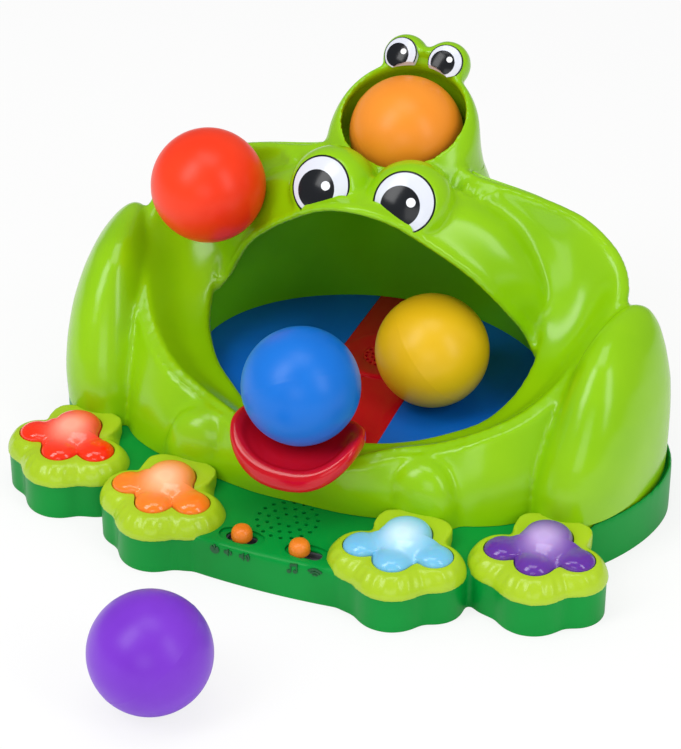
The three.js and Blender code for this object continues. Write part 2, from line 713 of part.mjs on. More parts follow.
function makeBottomPlate() {
  const plate = cut(baseBody(wall + gap, 0, plateTop));
  const bay = block(
    cellsX - bayHalfWidth, cellsX + bayHalfWidth, bayFront, bayRear, -overrun, plateTop + overrun,
  );
  const vents = Array.from({ length: ventCount }, (_, k) => {
    const y = nozzleY + (k - (ventCount - 1) / 2) * ventWidth * 2.5;
    return block(blowerX - motorRadius, blowerX + motorRadius, y - ventWidth / 2, y + ventWidth / 2,
      -overrun, plateTop + overrun);
  });
  const heads = screwPlaces.map((p) => disc(p.x, p.y, screwRadius + gap, -overrun, plateTop + overrun, 6));
  const recesses = screwPlaces.map((p) => disc(p.x, p.y, screwHeadRadius + gap, -overrun, plateTop / 2, 10));
  const posts = [
    ...feet.flatMap((foot) => boardPosts(
      foot.x, foot.y, boardHalfWidth - postRadius, boardHalfDepth - postRadius, boardHeight)),
    ...boardPosts(mainBoardX, mainBoardY, mainBoardHalfWidth - postRadius, mainBoardHalfDepth - postRadius,
      boardHeight),
    ...boardPosts(blowerX, nozzleY, blowerRadius * 0.6, blowerRadius * 0.6, blowerBottom),
  ];
  const bayWalls = cut(
    block(cellsX - bayHalfWidth - wall, cellsX + bayHalfWidth + wall, bayFront - wall, bayRear + wall,
      plateTop / 2, cellZ),
    block(cellsX - bayHalfWidth, cellsX + bayHalfWidth, bayFront, bayRear, 0, cellZ + overrun),
  );
  const doorBoss = cut(
    disc(cellsX, doorScrewY, bossRadius, bossBottom, cellZ, 12),
    disc(cellsX, doorScrewY, screwRadius + gap, 0, cellZ - wall, 8),
  );
  const motorSeat = cut(
    disc(blowerX, nozzleY, motorRadius + gap + wall, plateTop / 2, plateTop + wall * 2, 20),
    disc(blowerX, nozzleY, motorRadius + gap, -overrun, plateTop + wall * 3, 20),
  );
  const openPlate = cut(plate, bay, ...vents, ...heads, ...recesses);
  add("bottom_plate", join(openPlate, bayWalls, doorBoss, motorSeat, ...posts), paint("green"));
}

// Surfaces of the shells, made once for every cut that needs them
const trackGrid = trackRows(30, 5);
const wallGrid = frontWallRows(20, 3);
const hoodGrid = hoodRows(26, 5);
const rearGrid = rearRows(26, 4);
const archLip = (i, j) => wall + lipBead * (1 - j) ** 5;
const bothSidesOf = (make) => [-1, 1].map(make);
const thighClear = bothSidesOf((side) => limb(thighShares, side, gap, deckHeight - overrun));
const armClear = bothSidesOf((side) => limb(armShares, side, gap, deckHeight - overrun));
const trackClear = sheet(trackGrid, gap * 1.5, wall + gap);
const rearClear = sheet(rearGrid, gap, wall + gap);
const hoodClear = sheet(hoodGrid, gap, wall + lipBead);
const neckClear = neckOutside(gap);

// Room that the deck and the skirt of the base take from the shells
const skirtClear = join(
  cut(
    block(-halfWidth * 2, halfWidth * 2, -shellDepth, shellDepth, deckHeight - overrun, skirtHeight + gap),
    prism(baseOutline(skirtWall + gap), 0, shellHeight),
  ),
  block(-halfWidth * 2, halfWidth * 2, -shellDepth, shellDepth, 0, shellBottom),
);

// Opening in the lower lip for the stem of the tongue, and the ears that hold its pin
const earInside = hingeHalfWidth + slip;
const notchBehindLip = 5;
const notchFront = lipY + notchBehindLip;

function pinRod(reach, radius) {
  return rod(vec(-reach, hingeY, hingeZ), vec(reach, hingeY, hingeZ), radius);
}

function makeFrontShell() {
  const notch = block(-earInside, earInside, notchFront, hingeY + overrun * 2, floorTop + gap, tongueTop);
  const ears = bothSidesOf((side) => block(
    side < 0 ? -earInside - pinBoss : earInside, side < 0 ? -earInside : earInside + pinBoss,
    hingeY - pinBoss / 2, hingeY + pinBoss / 2, floorTop + gap, hingeZ + pinBoss / 2,
  ));
  const limbs = [thighShares, armShares].flatMap((shares) =>
    bothSidesOf((side) => limb(shares, side, 0, shellBottom)));
  const hollows = [thighShares, armShares].flatMap((shares) =>
    bothSidesOf((side) => limb(shares, side, -wall, shellBottom - overrun, 10)));
  add("front_shell", cut(
    join(cut(join(sheet(trackGrid, 0, wall), sheet(wallGrid, 0, wall)), notch), ...limbs, ...ears),
    ...hollows, neckClear, skirtClear, pinRod(halfWidth / 2, pinRadius + pinSlip),
  ), paint("lime"));
}

function makeHood() {
  const bosses = bigEyes.map((eye) => ball(bossMiddle(eye, bigBossBack), bigBossRadius, 16, 9));
  const hollows = bigEyes.map((eye) => ball(bossMiddle(eye, bigBossBack), bigBossRadius - wall, 10, 6));
  const seatBacks = bigEyes.map((eye) => rod(
    eye.middle.clone().addScaledVector(eye.look, -eyeThickness - gap - wall),
    eye.middle.clone().addScaledVector(eye.look, -eyeThickness - gap / 2), bigEyeRadius + wall, 20,
  ));
  const corner = block(-halfWidth, halfWidth, -halfWidth, halfWidth, 0, floorTop + overrun);
  add("face_hood", cut(
    join(cut(join(sheet(hoodGrid, 0, archLip), ...bosses), ...hollows), ...seatBacks),
    ...bigEyes.map((eye) => eyeSeat(eye, bigEyeRadius)), neckClear, corner,
  ), paint("lime"));
  bigEyes.forEach((eye, k) =>
    add(`big_eye_${k ? "right" : "left"}`, eyeSolid(eye, bigEyeRadius), paint("white")));
}

function makeRearShell() {
  const rear = sheet(rearGrid, 0, wall);
  add("rear_shell", cut(rear, ...thighClear, neckClear, trackClear, skirtClear), paint("lime"));
}

function makeSmallFrog() {
  const bosses = smallEyes.map((eye) => ball(bossMiddle(eye, smallBossBack), smallBossRadius, 12, 7));
  const seats = smallEyes.map((eye) => eyeSeat(eye, smallEyeRadius));
  add("small_frog", cut(join(neckOutside(0), ...bosses), neckBore(), ...seats), paint("lime"));
  smallEyes.forEach((eye, k) =>
    add(`small_eye_${k ? "right" : "left"}`, eyeSolid(eye, smallEyeRadius), paint("white")));
}

// Floor of the mouth: a blue plate with the red throat strip let into it, on legs that stand on the deck
const legShares = [[-0.93, 0], [0.93, 0], [-0.72, 0.66], [0.72, 0.66], [-0.72, -0.66], [0.72, -0.66],
  [0, 0.96]];
const legRadius = 3.5;

function floorEllipse(inset, bottom, top) {
  return loft([bottom, top].map((z) =>
    ellipse(0, mouthMiddleY, floorHalfWidth - inset, floorHalfDepth - inset, z, 40)));
}

function makeFloor() {
  const under = floorTop - floorThickness;
  const legs = legShares.map(([x, y]) => disc(
    x * floorHalfWidth, mouthMiddleY + y * floorHalfDepth, legRadius, shellBottom, floorTop - wall / 2, 6));
  const stripBed = block(-stripHalfWidth, stripHalfWidth, -halfWidth, halfWidth,
    floorTop - stripThickness, floorTop + overrun);
  const airHole = disc(0, nozzleY, nozzleHoleRadius, under - overrun, floorTop + overrun, 20);
  const plate = floorEllipse(0, under, floorTop);
  add("mouth_floor", cut(join(plate, ...legs), stripBed, airHole), paint("blue"));
  const strip = block(-stripHalfWidth + gap, stripHalfWidth - gap, -halfWidth, halfWidth,
    floorTop - stripThickness + gap / 2, floorTop + gap / 2);
  const seat = cut(
    disc(0, nozzleY, nozzleSeatRadius, floorTop - stripThickness / 2, floorTop + stripThickness, 24),
    disc(0, nozzleY, nozzleSeatRadius - stripThickness * 2, 0, floorTop + overrun, 24),
  );
  const bars = [-0.5, 0, 0.5].map((share) => block(
    share * nozzleHoleRadius * 1.4 - stripThickness, share * nozzleHoleRadius * 1.4 + stripThickness,
    nozzleY - nozzleHoleRadius, nozzleY + nozzleHoleRadius,
    floorTop - stripThickness + gap / 2, floorTop + gap / 2));
  const inside = strip.intersect(floorEllipse(gap, 0, shellHeight));
  add("throat_strip", join(cut(inside, disc(0, nozzleY, nozzleHoleRadius - slip, 0, shellHeight, 20)),
    seat, ...bars), paint("red"));
}

// Back wall of the mouth, from the edge of the floor up to the underside of the tracks and the neck
const linerFootShares = [[0.97, 0.22], [0.93, 0.38], [0.86, 0.53], [0.75, 0.68], [0.6, 0.81], [0.42, 0.92],
  [0.22, 0.98], [0, 1]];
const linerTopShares = [
  [0.461, 0.2, 0.53], [0.455, 0.228, 0.61], [0.439, 0.25, 0.68], [0.4, 0.272, 0.76],
  [0.33, 0.31, 0.82], [0.22, 0.385, 0.85], [0.14, 0.46, 0.85], [0, 0.485, 0.85],
];
const linerBulge = 5;

function makeLiner() {
  const foot = linerFootShares.map(([x, y]) =>
    vec(x * (floorHalfWidth - wall), mouthMiddleY + y * (floorHalfDepth - wall), floorTop + gap));
  const top = linerTopShares.map(place);
  const middle = between(foot, top, (k, p) =>
    vec(p.x, p.y - mouthMiddleY, 0).normalize().multiplyScalar(linerBulge));
  const rows = surface([foot, middle, top].map(bothEnds), 28, 4);
  const liner = sheet(rows, wall / 2, wall / 2);
  const stripClear = block(-stripHalfWidth, stripHalfWidth, -halfWidth, halfWidth, 0, floorTop + gap * 2);
  add("mouth_liner", cut(liner, trackClear, rearClear, neckClear, stripClear, hoodClear), paint("liner"));
}

// Feet: the lime rim and the lit button that slides down in it
function makeFeet() {
  for (const foot of feet) {
    const shoulder = deckHeight + bezelHeight * bezelShoulderShare;
    const top = deckHeight + bezelHeight;
    const body = loft([
      footRing(foot, bezelMargin, shellBottom), footRing(foot, bezelMargin, shoulder),
      footRing(foot, bezelMargin - bezelSlope, top),
    ]);
    const well = loft([footRing(foot, slip, deckHeight - overrun), footRing(foot, slip, top + overrun)]);
    const heel = ellipse(foot.x, foot.y + heelY + heelRadius * 0.6, heelRadius + ankleWiden, heelRadius,
      shellBottom, 16, 3);
    const ankle = loft([heel, heel.map((p) => vec(p.x, p.y, top + buttonRise / 2))]);
    add(`foot_bezel_${foot.name}`, cut(join(body, ankle), well, ...thighClear, ...armClear),
      paint("footLime"));
    const bottom = deckHeight + buttonTravel + gap * 2;
    const cap = loft([
      footRing(foot, 0, bottom), footRing(foot, 0, top),
      footRing(foot, -buttonRise / 4, top + buttonRise / 2), footRing(foot, -buttonRise, top + buttonRise),
    ]);
    const plunger = disc(foot.x, foot.y, plungerRadius, boardHeight + boardThickness + switchHeight + gap,
      top, 8);
    add(`foot_button_${foot.name}`, join(cap, plunger), tint(foot.color, 0.2));
    const board = block(foot.x - boardHalfWidth, foot.x + boardHalfWidth, foot.y - boardHalfDepth,
      foot.y + boardHalfDepth, boardHeight, boardHeight + boardThickness);
    const lamp = disc(foot.x + lampPlace, foot.y, lampRadius, boardHeight + boardThickness / 2,
      boardHeight + boardThickness + lampRadius, 8);
    const key = disc(foot.x, foot.y, keyRadius, boardHeight + boardThickness / 2,
      boardHeight + boardThickness + switchHeight - buttonTravel, 8);
    add(`button_board_${foot.name}`, join(board, key, lamp), paint("board"));
  }
}

// Tongue: a cupped lever on a pin across the lower lip, with a rounded rim
// Section of the dish: share of its half width, rise over its middle, both from the middle outwards
const dishShares = [[0.3, 0.2], [0.6, 1], [0.82, 3], [0.93, 4.6], [1, 3.2], [1, 0.6], [0.93, -1.8],
  [0.75, -2.6], [0.3, -3]];

function tongueRing(share, rise, sides = 22) {
  const middleY = (tongueBack + tongueFront) / 2;
  const halfDepth = (tongueBack - tongueFront) / 2;
  return ellipse(0, 0, 1, 1, 0, sides, 2.3).map((p) => {
    const droop = tongueDroop * Math.max(-p.y * share, 0) ** 2 + tongueSideDroop * (p.x * share) ** 2;
    return vec(p.x * share * tongueHalfWidth, middleY + p.y * share * halfDepth, tongueTop + rise - droop);
  });
}

function makeTongue() {
  const stem = block(-hingeHalfWidth, hingeHalfWidth, hingeY - stemDepth / 2, hingeY + stemDepth / 2,
    hingeZ - stemDepth / 2, tongueTop - wall);
  const finger = block(fingerX - wall, fingerX + wall, fingerY - wall / 2, hingeY - stemDepth / 2 + gap,
    fingerBottom, tongueTop - wall);
  add("tongue", cut(
    join(loft(dishShares.map(([share, rise]) => tongueRing(share, rise))), stem, finger),
    pinRod(halfWidth / 2, pinRadius + pinSlip),
  ), paint("red"));
  add("tongue_pin", pinRod(earInside + pinBoss, pinRadius), paint("steel"));
  add("tongue_switch", join(
    block(fingerX - switchHalf, fingerX + switchHalf, fingerY - switchHalf, fingerY + switchHalf,
      shellBottom, fingerBottom - tongueGive - wall),
    disc(fingerX, fingerY, keyRadius / 2, shellBottom + wall, fingerBottom - tongueGive, 8),
  ), paint("grey"));
  const turns = springTurns * springSteps;
  const rings = Array.from({ length: turns + 1 }, (_, k) => {
    const angle = (k / springSteps) * Math.PI * 2;
    const rise = shellBottom + springWire + (k / turns) * (springTop - shellBottom - springWire * 2);
    return ellipse(0, 0, springWire, springWire, 0, 4).map((p) =>
      vec(springRadius + p.x, 0, p.y).applyAxisAngle(vec(0, 0, 1), angle).add(vec(0, springY, rise)));
  });
  add("tongue_spring", loft(rings), paint("steel"));
}

function makeKnobs() {
  for (const [name, x, low, high] of [
    ["volume", volumeX, -volumeStep, volumeStep], ["mode", modeX, 0, modeTravel],
  ]) {
    const dome = loft([
      ellipse(x, knobY, knobRadius, knobRadius, deckHeight + gap, 20),
      ellipse(x, knobY, knobRadius, knobRadius, deckHeight + knobRise * 0.45, 20),
      ellipse(x, knobY, knobRadius * 0.8, knobRadius * 0.8, deckHeight + knobRise * 0.8, 20),
      ellipse(x, knobY, knobRadius * 0.35, knobRadius * 0.35, deckHeight + knobRise, 20),
    ]);
    const switchTop = deckUnder - gap;
    const stem = block(x - stemHalfWidth, x + stemHalfWidth, knobY - stemHalfWidth, knobY + stemHalfWidth,
      switchTop - wall, deckHeight + knobRise / 2);
    add(`${name}_knob`, join(dome, stem), paint("orange"));
    const half = stemHalfWidth + slip;
    const box = cut(
      block(x + low - half - wall * 2, x + high + half + wall * 2, knobY - half - wall, knobY + half + wall,
        switchTop - wall * 3, switchTop),
      block(x + low - half, x + high + half, knobY - half, knobY + half, switchTop - wall - gap,
        switchTop + overrun),
    );
    add(`${name}_switch`, box, paint("grey"));
  }
}

// Blower: the motor stands in its seat on the bottom plate, and its fan feeds the nozzle
const ductHalfWidth = nozzleHoleRadius + wall;
const blowerTop = blowerBottom + blowerHeight;
const inletRadius = motorRadius + overrun;
const hubRadius = 5;

function blowerOutline(inset, bottom, top) {
  return join(
    disc(blowerX, nozzleY, blowerRadius - inset, bottom, top, 24),
    block(blowerX, 0, nozzleY - ductHalfWidth + inset, nozzleY + ductHalfWidth - inset, bottom, top),
    disc(0, nozzleY, ductHalfWidth - inset, bottom, top, 20),
  );
}

function makeBlower() {
  const motorBottom = plateTop + gap;
  const fanBottom = blowerBottom + wall + gap * 3;
  add("blower_motor", join(
    disc(blowerX, nozzleY, motorRadius, motorBottom, blowerBottom - gap, 20),
    disc(blowerX, nozzleY, shaftRadius, blowerBottom - wall, fanBottom + impellerHeight, 10),
  ), paint("steel"));
  const blades = Array.from({ length: bladeCount }, (_, k) =>
    block(hubRadius - gap, impellerRadius, -bladeThickness / 2, bladeThickness / 2, fanBottom,
      fanBottom + impellerHeight).rotate([0, 0, (k * 360) / bladeCount]).translate([blowerX, nozzleY, 0]));
  add("impeller", cut(
    join(
      disc(blowerX, nozzleY, impellerRadius, fanBottom, fanBottom + bladeThickness, 24),
      disc(blowerX, nozzleY, hubRadius, fanBottom, fanBottom + impellerHeight, 12), ...blades,
    ),
    disc(blowerX, nozzleY, shaftRadius + pinSlip, 0, shellHeight, 10),
  ), paint("white"));
  add("blower_housing", cut(
    blowerOutline(0, blowerBottom, blowerTop), blowerOutline(wall, blowerBottom + wall, blowerTop + overrun),
    disc(blowerX, nozzleY, inletRadius, 0, blowerTop + overrun, 20),
  ), paint("grey"));
  add("blower_cover", cut(
    join(
      blowerOutline(0, blowerTop + gap, blowerTop + gap + wall / 2),
      disc(0, nozzleY, ductHalfWidth, blowerTop + gap, floorTop - floorThickness - gap, 20),
    ),
    disc(0, nozzleY, nozzleHoleRadius, 0, shellHeight, 20),
  ), paint("grey"));
}

// Batteries in their bay, with a contact strip at each end and the door under them
function makeBatteries() {
  const cellX = (k) => cellsX + (k - (cellCount - 1) / 2) * cellPitch;
  for (let k = 0; k < cellCount; k++) {
    const up = k % 2 ? -1 : 1;
    const along = (share) => vec(cellX(k), cellsY + up * share, cellZ);
    add(`battery_${k + 1}`, join(
      rod(along(-cellLength / 2), along(cellLength / 2 - nippleLength), cellRadius, 14),
      rod(along(0), along(cellLength / 2), nippleRadius, 8),
    ), paint(k % 2 ? "grey" : "steel"));
  }
  for (const [name, end] of [["front", -1], ["rear", 1]]) {
    const inside = cellsY + end * (cellLength / 2 + gap);
    const outside = cellsY + end * (cellLength / 2 + contactRoom - gap);
    const face = outside - end * contactThickness;
    const strip = block(cellX(0) - cellRadius, cellX(cellCount - 1) + cellRadius,
      Math.min(outside, face), Math.max(outside, face), cellZ - cellRadius, cellZ + cellRadius);
    const pads = Array.from({ length: cellCount }, (_, k) =>
      rod(vec(cellX(k), outside, cellZ), vec(cellX(k), inside, cellZ), nippleRadius, 8));
    add(`contact_${name}`, join(strip, ...pads), paint("steel"));
  }
  const doorHalfWidth = bayHalfWidth - slip;
  const rib = (y) => block(cellsX - doorHalfWidth, cellsX + doorHalfWidth, y - wall / 2, y + wall / 2,
    plateTop - gap, cellZ - cellRadius - gap / 2);
  const door = block(cellsX - doorHalfWidth, cellsX + doorHalfWidth, bayFront + slip,
    bayRear - slip, 0, plateTop);
  add("battery_door", cut(
    join(door, rib(cellsY - cellLength / 4), rib(cellsY + cellLength / 4)),
    disc(cellsX, doorScrewY, screwRadius + gap, -overrun, shellHeight, 8),
    disc(cellsX, doorScrewY, screwHeadRadius + gap, -overrun, plateTop / 2, 12),
  ), paint("green"));
}

function screw(x, y, length) {
  return join(
    disc(x, y, screwHeadRadius, gap / 2, plateTop / 2 - gap / 2, 10),
    disc(x, y, screwRadius, gap, length, 6),
  );
}

function makeScrews() {
  screwPlaces.forEach((p, k) => add(`base_screw_${k + 1}`, screw(p.x, p.y, screwLength), paint("steel")));
  add("door_screw", screw(cellsX, doorScrewY, cellZ - wall * 2), paint("steel"));
}

function makeBoards() {
  const top = boardHeight + boardThickness;
  add("main_board", join(
    block(mainBoardX - mainBoardHalfWidth, mainBoardX + mainBoardHalfWidth, mainBoardY - mainBoardHalfDepth,
      mainBoardY + mainBoardHalfDepth, boardHeight, top),
    block(mainBoardX - overrun, mainBoardX + overrun, mainBoardY - overrun, mainBoardY + overrun,
      top - gap, top + wall),
    disc(mainBoardX + overrun * 2, mainBoardY + overrun * 2, keyRadius, top - gap, top + switchHeight, 10),
  ), paint("board"));
  const speakerTop = deckUnder - gap;
  add("speaker", join(
    disc(0, speakerY, speakerRadius, speakerTop - wall, speakerTop, 24),
    disc(0, speakerY, speakerRadius * 0.6, speakerTop - speakerHeight, speakerTop, 20),
  ), paint("grey"));
}

// Balls: each comes down over its place until it is a gap from what carries it
const orangeBehindRing = 2.4;
const blueBehindLip = 3;
const yellowShares = [0.22389, 0.12];
const redShares = [-0.51167, 0.1];
const purpleBeforePanel = 103;
const purpleX = -15;
const dropRoom = 8; // from which a ball comes down
const balls = [
  { name: "orange", x: 0, y: ringY + orangeBehindRing, over: ringZ - dropRoom, color: 0xf49b30 },
  { name: "blue", x: 0, y: lipY + blueBehindLip, over: tongueTop + ballDiameter / 2 + dropRoom,
    color: 0x1e82e6 },
  { name: "yellow", x: yellowShares[0] * halfWidth, y: yellowShares[1] * shellDepth,
    over: floorTop + ballDiameter / 2 + dropRoom, color: 0xf0c828 },
  { name: "red", x: redShares[0] * halfWidth, y: redShares[1] * shellDepth,
    over: shellHeight + ballDiameter / 2, color: 0xff4a1e },
  { name: "purple", x: purpleX, y: -panelFront - purpleBeforePanel, over: ballDiameter / 2,
    color: 0x8a3cd2 },
];
const settleStep = 4; // how far a ball comes down at a time
const settleHalvings = 12;
const probeSides = 40;
const probeRows = 24;

// Height at which a ball over (x, y), lowered from a height, stops a gap above the carriers or on the floor
function restHeight(x, y, over, carriers) {
  const radius = ballDiameter / 2;
  const blocked = (z) => {
    const probe = ball(vec(x, y, z), radius + gap, probeSides, probeRows);
    return z < radius || carriers.some((carrier) => !probe.intersect(carrier).isEmpty());
  };
  let high = over;
  while (!blocked(high - settleStep)) high -= settleStep;
  let low = high - settleStep;
  for (let k = 0; k < settleHalvings; k++) {
    const middle = (low + high) / 2;
    if (blocked(middle)) low = middle;
    else high = middle;
  }
  return high;
}

function makeBalls() {
  const carriers = ["front_shell", "face_hood", "small_frog", "mouth_floor", "throat_strip", "tongue"]
    .map((name) => solidOf(toy.getObjectByName(name).geometry));
  for (const { name, x, y, over, color } of balls) {
    const middle = vec(x, y, restHeight(x, y, over, carriers));
    add(`ball_${name}`, ball(middle, ballDiameter / 2), tint(color, 0.3));
  }
}

makeBase();
makeBottomPlate();
makeFrontShell();
makeHood();
makeRearShell();
makeSmallFrog();
makeFloor();
makeLiner();
makeFeet();
makeTongue();
makeKnobs();
makeBlower();
makeBatteries();
makeScrews();
makeBoards();
makeBalls();

export default toy;
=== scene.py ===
# %% [markdown]
# A ball popper toy, dressed for a photograph. A blower lifts soft balls out of the small frog on top, and
# they roll down the shoulders into the big frog's mouth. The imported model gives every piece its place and
# motion, so the cells below only make a finer surface or a finish for pieces that are already there.

# %% The frame
import json
import math

import bpy
import numpy as np
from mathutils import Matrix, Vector


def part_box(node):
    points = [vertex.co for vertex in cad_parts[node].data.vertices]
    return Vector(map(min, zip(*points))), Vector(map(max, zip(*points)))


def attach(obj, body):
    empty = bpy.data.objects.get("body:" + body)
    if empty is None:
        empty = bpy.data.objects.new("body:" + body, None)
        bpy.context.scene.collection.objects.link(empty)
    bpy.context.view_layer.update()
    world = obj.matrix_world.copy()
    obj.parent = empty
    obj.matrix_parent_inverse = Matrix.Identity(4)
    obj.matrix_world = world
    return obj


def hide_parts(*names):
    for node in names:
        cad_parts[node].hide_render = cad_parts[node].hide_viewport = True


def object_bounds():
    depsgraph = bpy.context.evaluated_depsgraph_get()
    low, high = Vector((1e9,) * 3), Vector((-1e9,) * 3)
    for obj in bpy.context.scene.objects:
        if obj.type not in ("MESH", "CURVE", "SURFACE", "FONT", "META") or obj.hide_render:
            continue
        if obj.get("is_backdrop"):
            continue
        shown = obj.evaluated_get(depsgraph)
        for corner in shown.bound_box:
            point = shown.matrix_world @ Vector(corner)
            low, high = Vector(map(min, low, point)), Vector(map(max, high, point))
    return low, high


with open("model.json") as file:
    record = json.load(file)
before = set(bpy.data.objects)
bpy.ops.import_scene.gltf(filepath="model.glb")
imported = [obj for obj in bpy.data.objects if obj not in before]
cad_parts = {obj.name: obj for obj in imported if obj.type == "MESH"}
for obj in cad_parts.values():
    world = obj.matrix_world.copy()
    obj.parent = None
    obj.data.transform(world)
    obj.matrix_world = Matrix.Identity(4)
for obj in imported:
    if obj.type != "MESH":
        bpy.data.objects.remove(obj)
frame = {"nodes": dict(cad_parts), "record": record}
cad_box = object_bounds()
nodes = frame["nodes"]
slots = {part["node"]: part["material_slot"] for part in frame["record"]["subparts"]}
scene = bpy.context.scene
scene.view_settings.view_transform = "Standard"
MM = 0.001  # the cells below think in millimetres

# %% [markdown]
# The camera stands where the photographer stood: to the right of the toy and above it, with a long lens, so
# that the far shoulder looks hardly smaller than the near one.

# %% The camera
photo_height, focal_length = 749, 2600  # pixels
sensor_width = 36  # millimetres
target = Vector((-13.8, 28.4, 48.7)) * MM


def set_up(data, azimuth, elevation, distance):
    """Puts a camera or a lamp this many metres from the middle of the toy, looking at it."""
    around, up = math.radians(azimuth), math.radians(elevation)
    away = Vector((math.sin(around) * math.cos(up), -math.cos(around) * math.cos(up), math.sin(up)))
    made = bpy.data.objects.new(data.name, data)
    made.location = target + away * distance
    made.rotation_euler = away.to_track_quat("Z", "Y").to_euler()
    scene.collection.objects.link(made)
    return made


camera = bpy.data.cameras.new("camera")
camera.sensor_width = sensor_width
camera.lens = focal_length / photo_height * sensor_width
scene.camera = set_up(camera, azimuth=22.2, elevation=32.9, distance=1.48)
print("lens:", round(camera.lens, 1), "mm")


# %% [markdown]
# Every colour is written as the hex code that a picture editor shows, and one function turns it into the
# linear light that the renderer adds up. A second one adds a shader node with its settings.

# %% Colours and nodes
def colour(code):
    """Linear red, green, blue and alpha of an sRGB hex code such as #93D10A."""
    parts = np.array([int(code[i:i + 2], 16) for i in (1, 3, 5)]) / 255
    linear = np.where(parts <= 0.04045, parts / 12.92, ((parts + 0.055) / 1.055) ** 2.4)
    return (*linear.tolist(), 1.0)


def add_node(tree, kind, values=(), links=(), **settings):
    """Adds a node with its settings, its socket values, and the sockets that feed its sockets. A whole node
    among these stands for its first output."""
    made = tree.nodes.new("ShaderNode" + kind)
    for key, value in settings.items():
        setattr(made, key, value)
    for socket, value in dict(values).items():
        made.inputs[socket].default_value = value
    for socket, source in dict(links).items():
        feed = source.outputs[0] if isinstance(source, bpy.types.Node) else source
        tree.links.new(feed, made.inputs[socket])
    return made


def new_material(name):
    """An empty material, its node tree, and the place in the piece in metres."""
    material = bpy.data.materials.new(name)
    material.use_nodes = True
    tree = material.node_tree
    tree.nodes.clear()
    return material, tree, add_node(tree, "TexCoord").outputs["Object"]


# %% [markdown]
# The toy stands in a white studio. The floor is pale and matt. To the camera it also glows a little, so that
# it fades into the white background but keeps the soft shadow that ties the toy to the ground.

# %% The studio
WHITE = colour("#FFFFFF")
floor_half = 4  # metres
floor_glow = 0.8  # share of plain white that the camera sees in the floor
floor_drop = 0.0002  # metres: keeps the floor clear of the toy's flat underside


def make_floor():
    material, tree, _ = new_material("studio_paper")
    matt = add_node(tree, "BsdfDiffuse", {"Color": colour("#F6F6F6")})
    white = add_node(tree, "Emission", {"Color": WHITE, "Strength": 1})
    path = add_node(tree, "LightPath")
    share = add_node(tree, "Math", {1: floor_glow}, {0: path.outputs["Is Camera Ray"]}, operation="MULTIPLY")
    both = add_node(tree, "MixShader", links={0: share, 1: matt, 2: white})
    add_node(tree, "OutputMaterial", links={"Surface": both})
    mesh = bpy.data.meshes.new("studio_floor")
    corners = [(x * floor_half, y * floor_half, -floor_drop) for x, y in ((-1, -1), (1, -1), (1, 1), (-1, 1))]
    mesh.from_pydata(corners, [], [(0, 1, 2, 3)])
    mesh.materials.append(material)
    floor = bpy.data.objects.new("studio_floor", mesh)
    scene.collection.objects.link(floor)
    floor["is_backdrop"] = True


def make_world(light=0.6, seen=1.0, mirrored=0.2):
    """A plain white room: what it gives the toy, what the camera sees of it, and what shines in the toy."""
    world = bpy.data.worlds.new("studio_world")
    world.use_nodes = True
    tree = world.node_tree
    tree.nodes.clear()
    path = add_node(tree, "LightPath").outputs
    glossy = add_node(tree, "Mix", {2: light, 3: mirrored}, {0: path["Is Glossy Ray"]}, data_type="FLOAT")
    strength = add_node(tree, "Mix", {3: seen}, {0: path["Is Camera Ray"], 2: glossy}, data_type="FLOAT")
    room = add_node(tree, "Background", {"Color": WHITE}, {"Strength": strength})
    add_node(tree, "OutputWorld", links={"Surface": room})
    scene.world = world


def softbox(name, azimuth, elevation, distance, width, height, power):
    """A rectangular lamp, in degrees, metres and watts."""
    lamp = bpy.data.lights.new(name, "AREA")
    lamp.shape = "RECTANGLE"
    lamp.size, lamp.size_y, lamp.energy = width, height, power
    set_up(lamp, azimuth, elevation, distance)


make_floor()
make_world()
softbox("key_light", -32, 48, 1.7, width=0.55, height=1.1, power=9.4)
softbox("fill_light", 68, 34, 1.8, width=0.4, height=1.2, power=5.8)
softbox("front_light", 14, 20, 2, width=0.9, height=0.7, power=3.4)
softbox("top_light", 10, 84, 1.6, width=0.9, height=0.6, power=4.5)
print("studio ready")

# %% [markdown]
# Nearly everything on this toy is injection moulded plastic. Under a lamp that means three things: an even
# colour, faintly cloudy where the pellets mixed, a skin that copies the polish of the steel mould, and
# shallow sink marks, which bend the reflections a little. The glossy shells are ABS, the base is ABS from a
# duller mould, the balls are soft polyethylene, and the buttons are clear tinted plastic over a lamp.

# %% Plastics
ABS_IOR, POLYETHYLENE_IOR, CLEAR_IOR = 1.54, 1.51, 1.58
cloud_size, sink_size = 60, 22  # millimetres across one cloud of the pigment, and across one sink mark
grain_size = 0.7  # finer in truth, drawn as coarse as it needs to show
haze_size, scratch_size, scratch_stretch, track_pitch = 8, 3, 12, 12


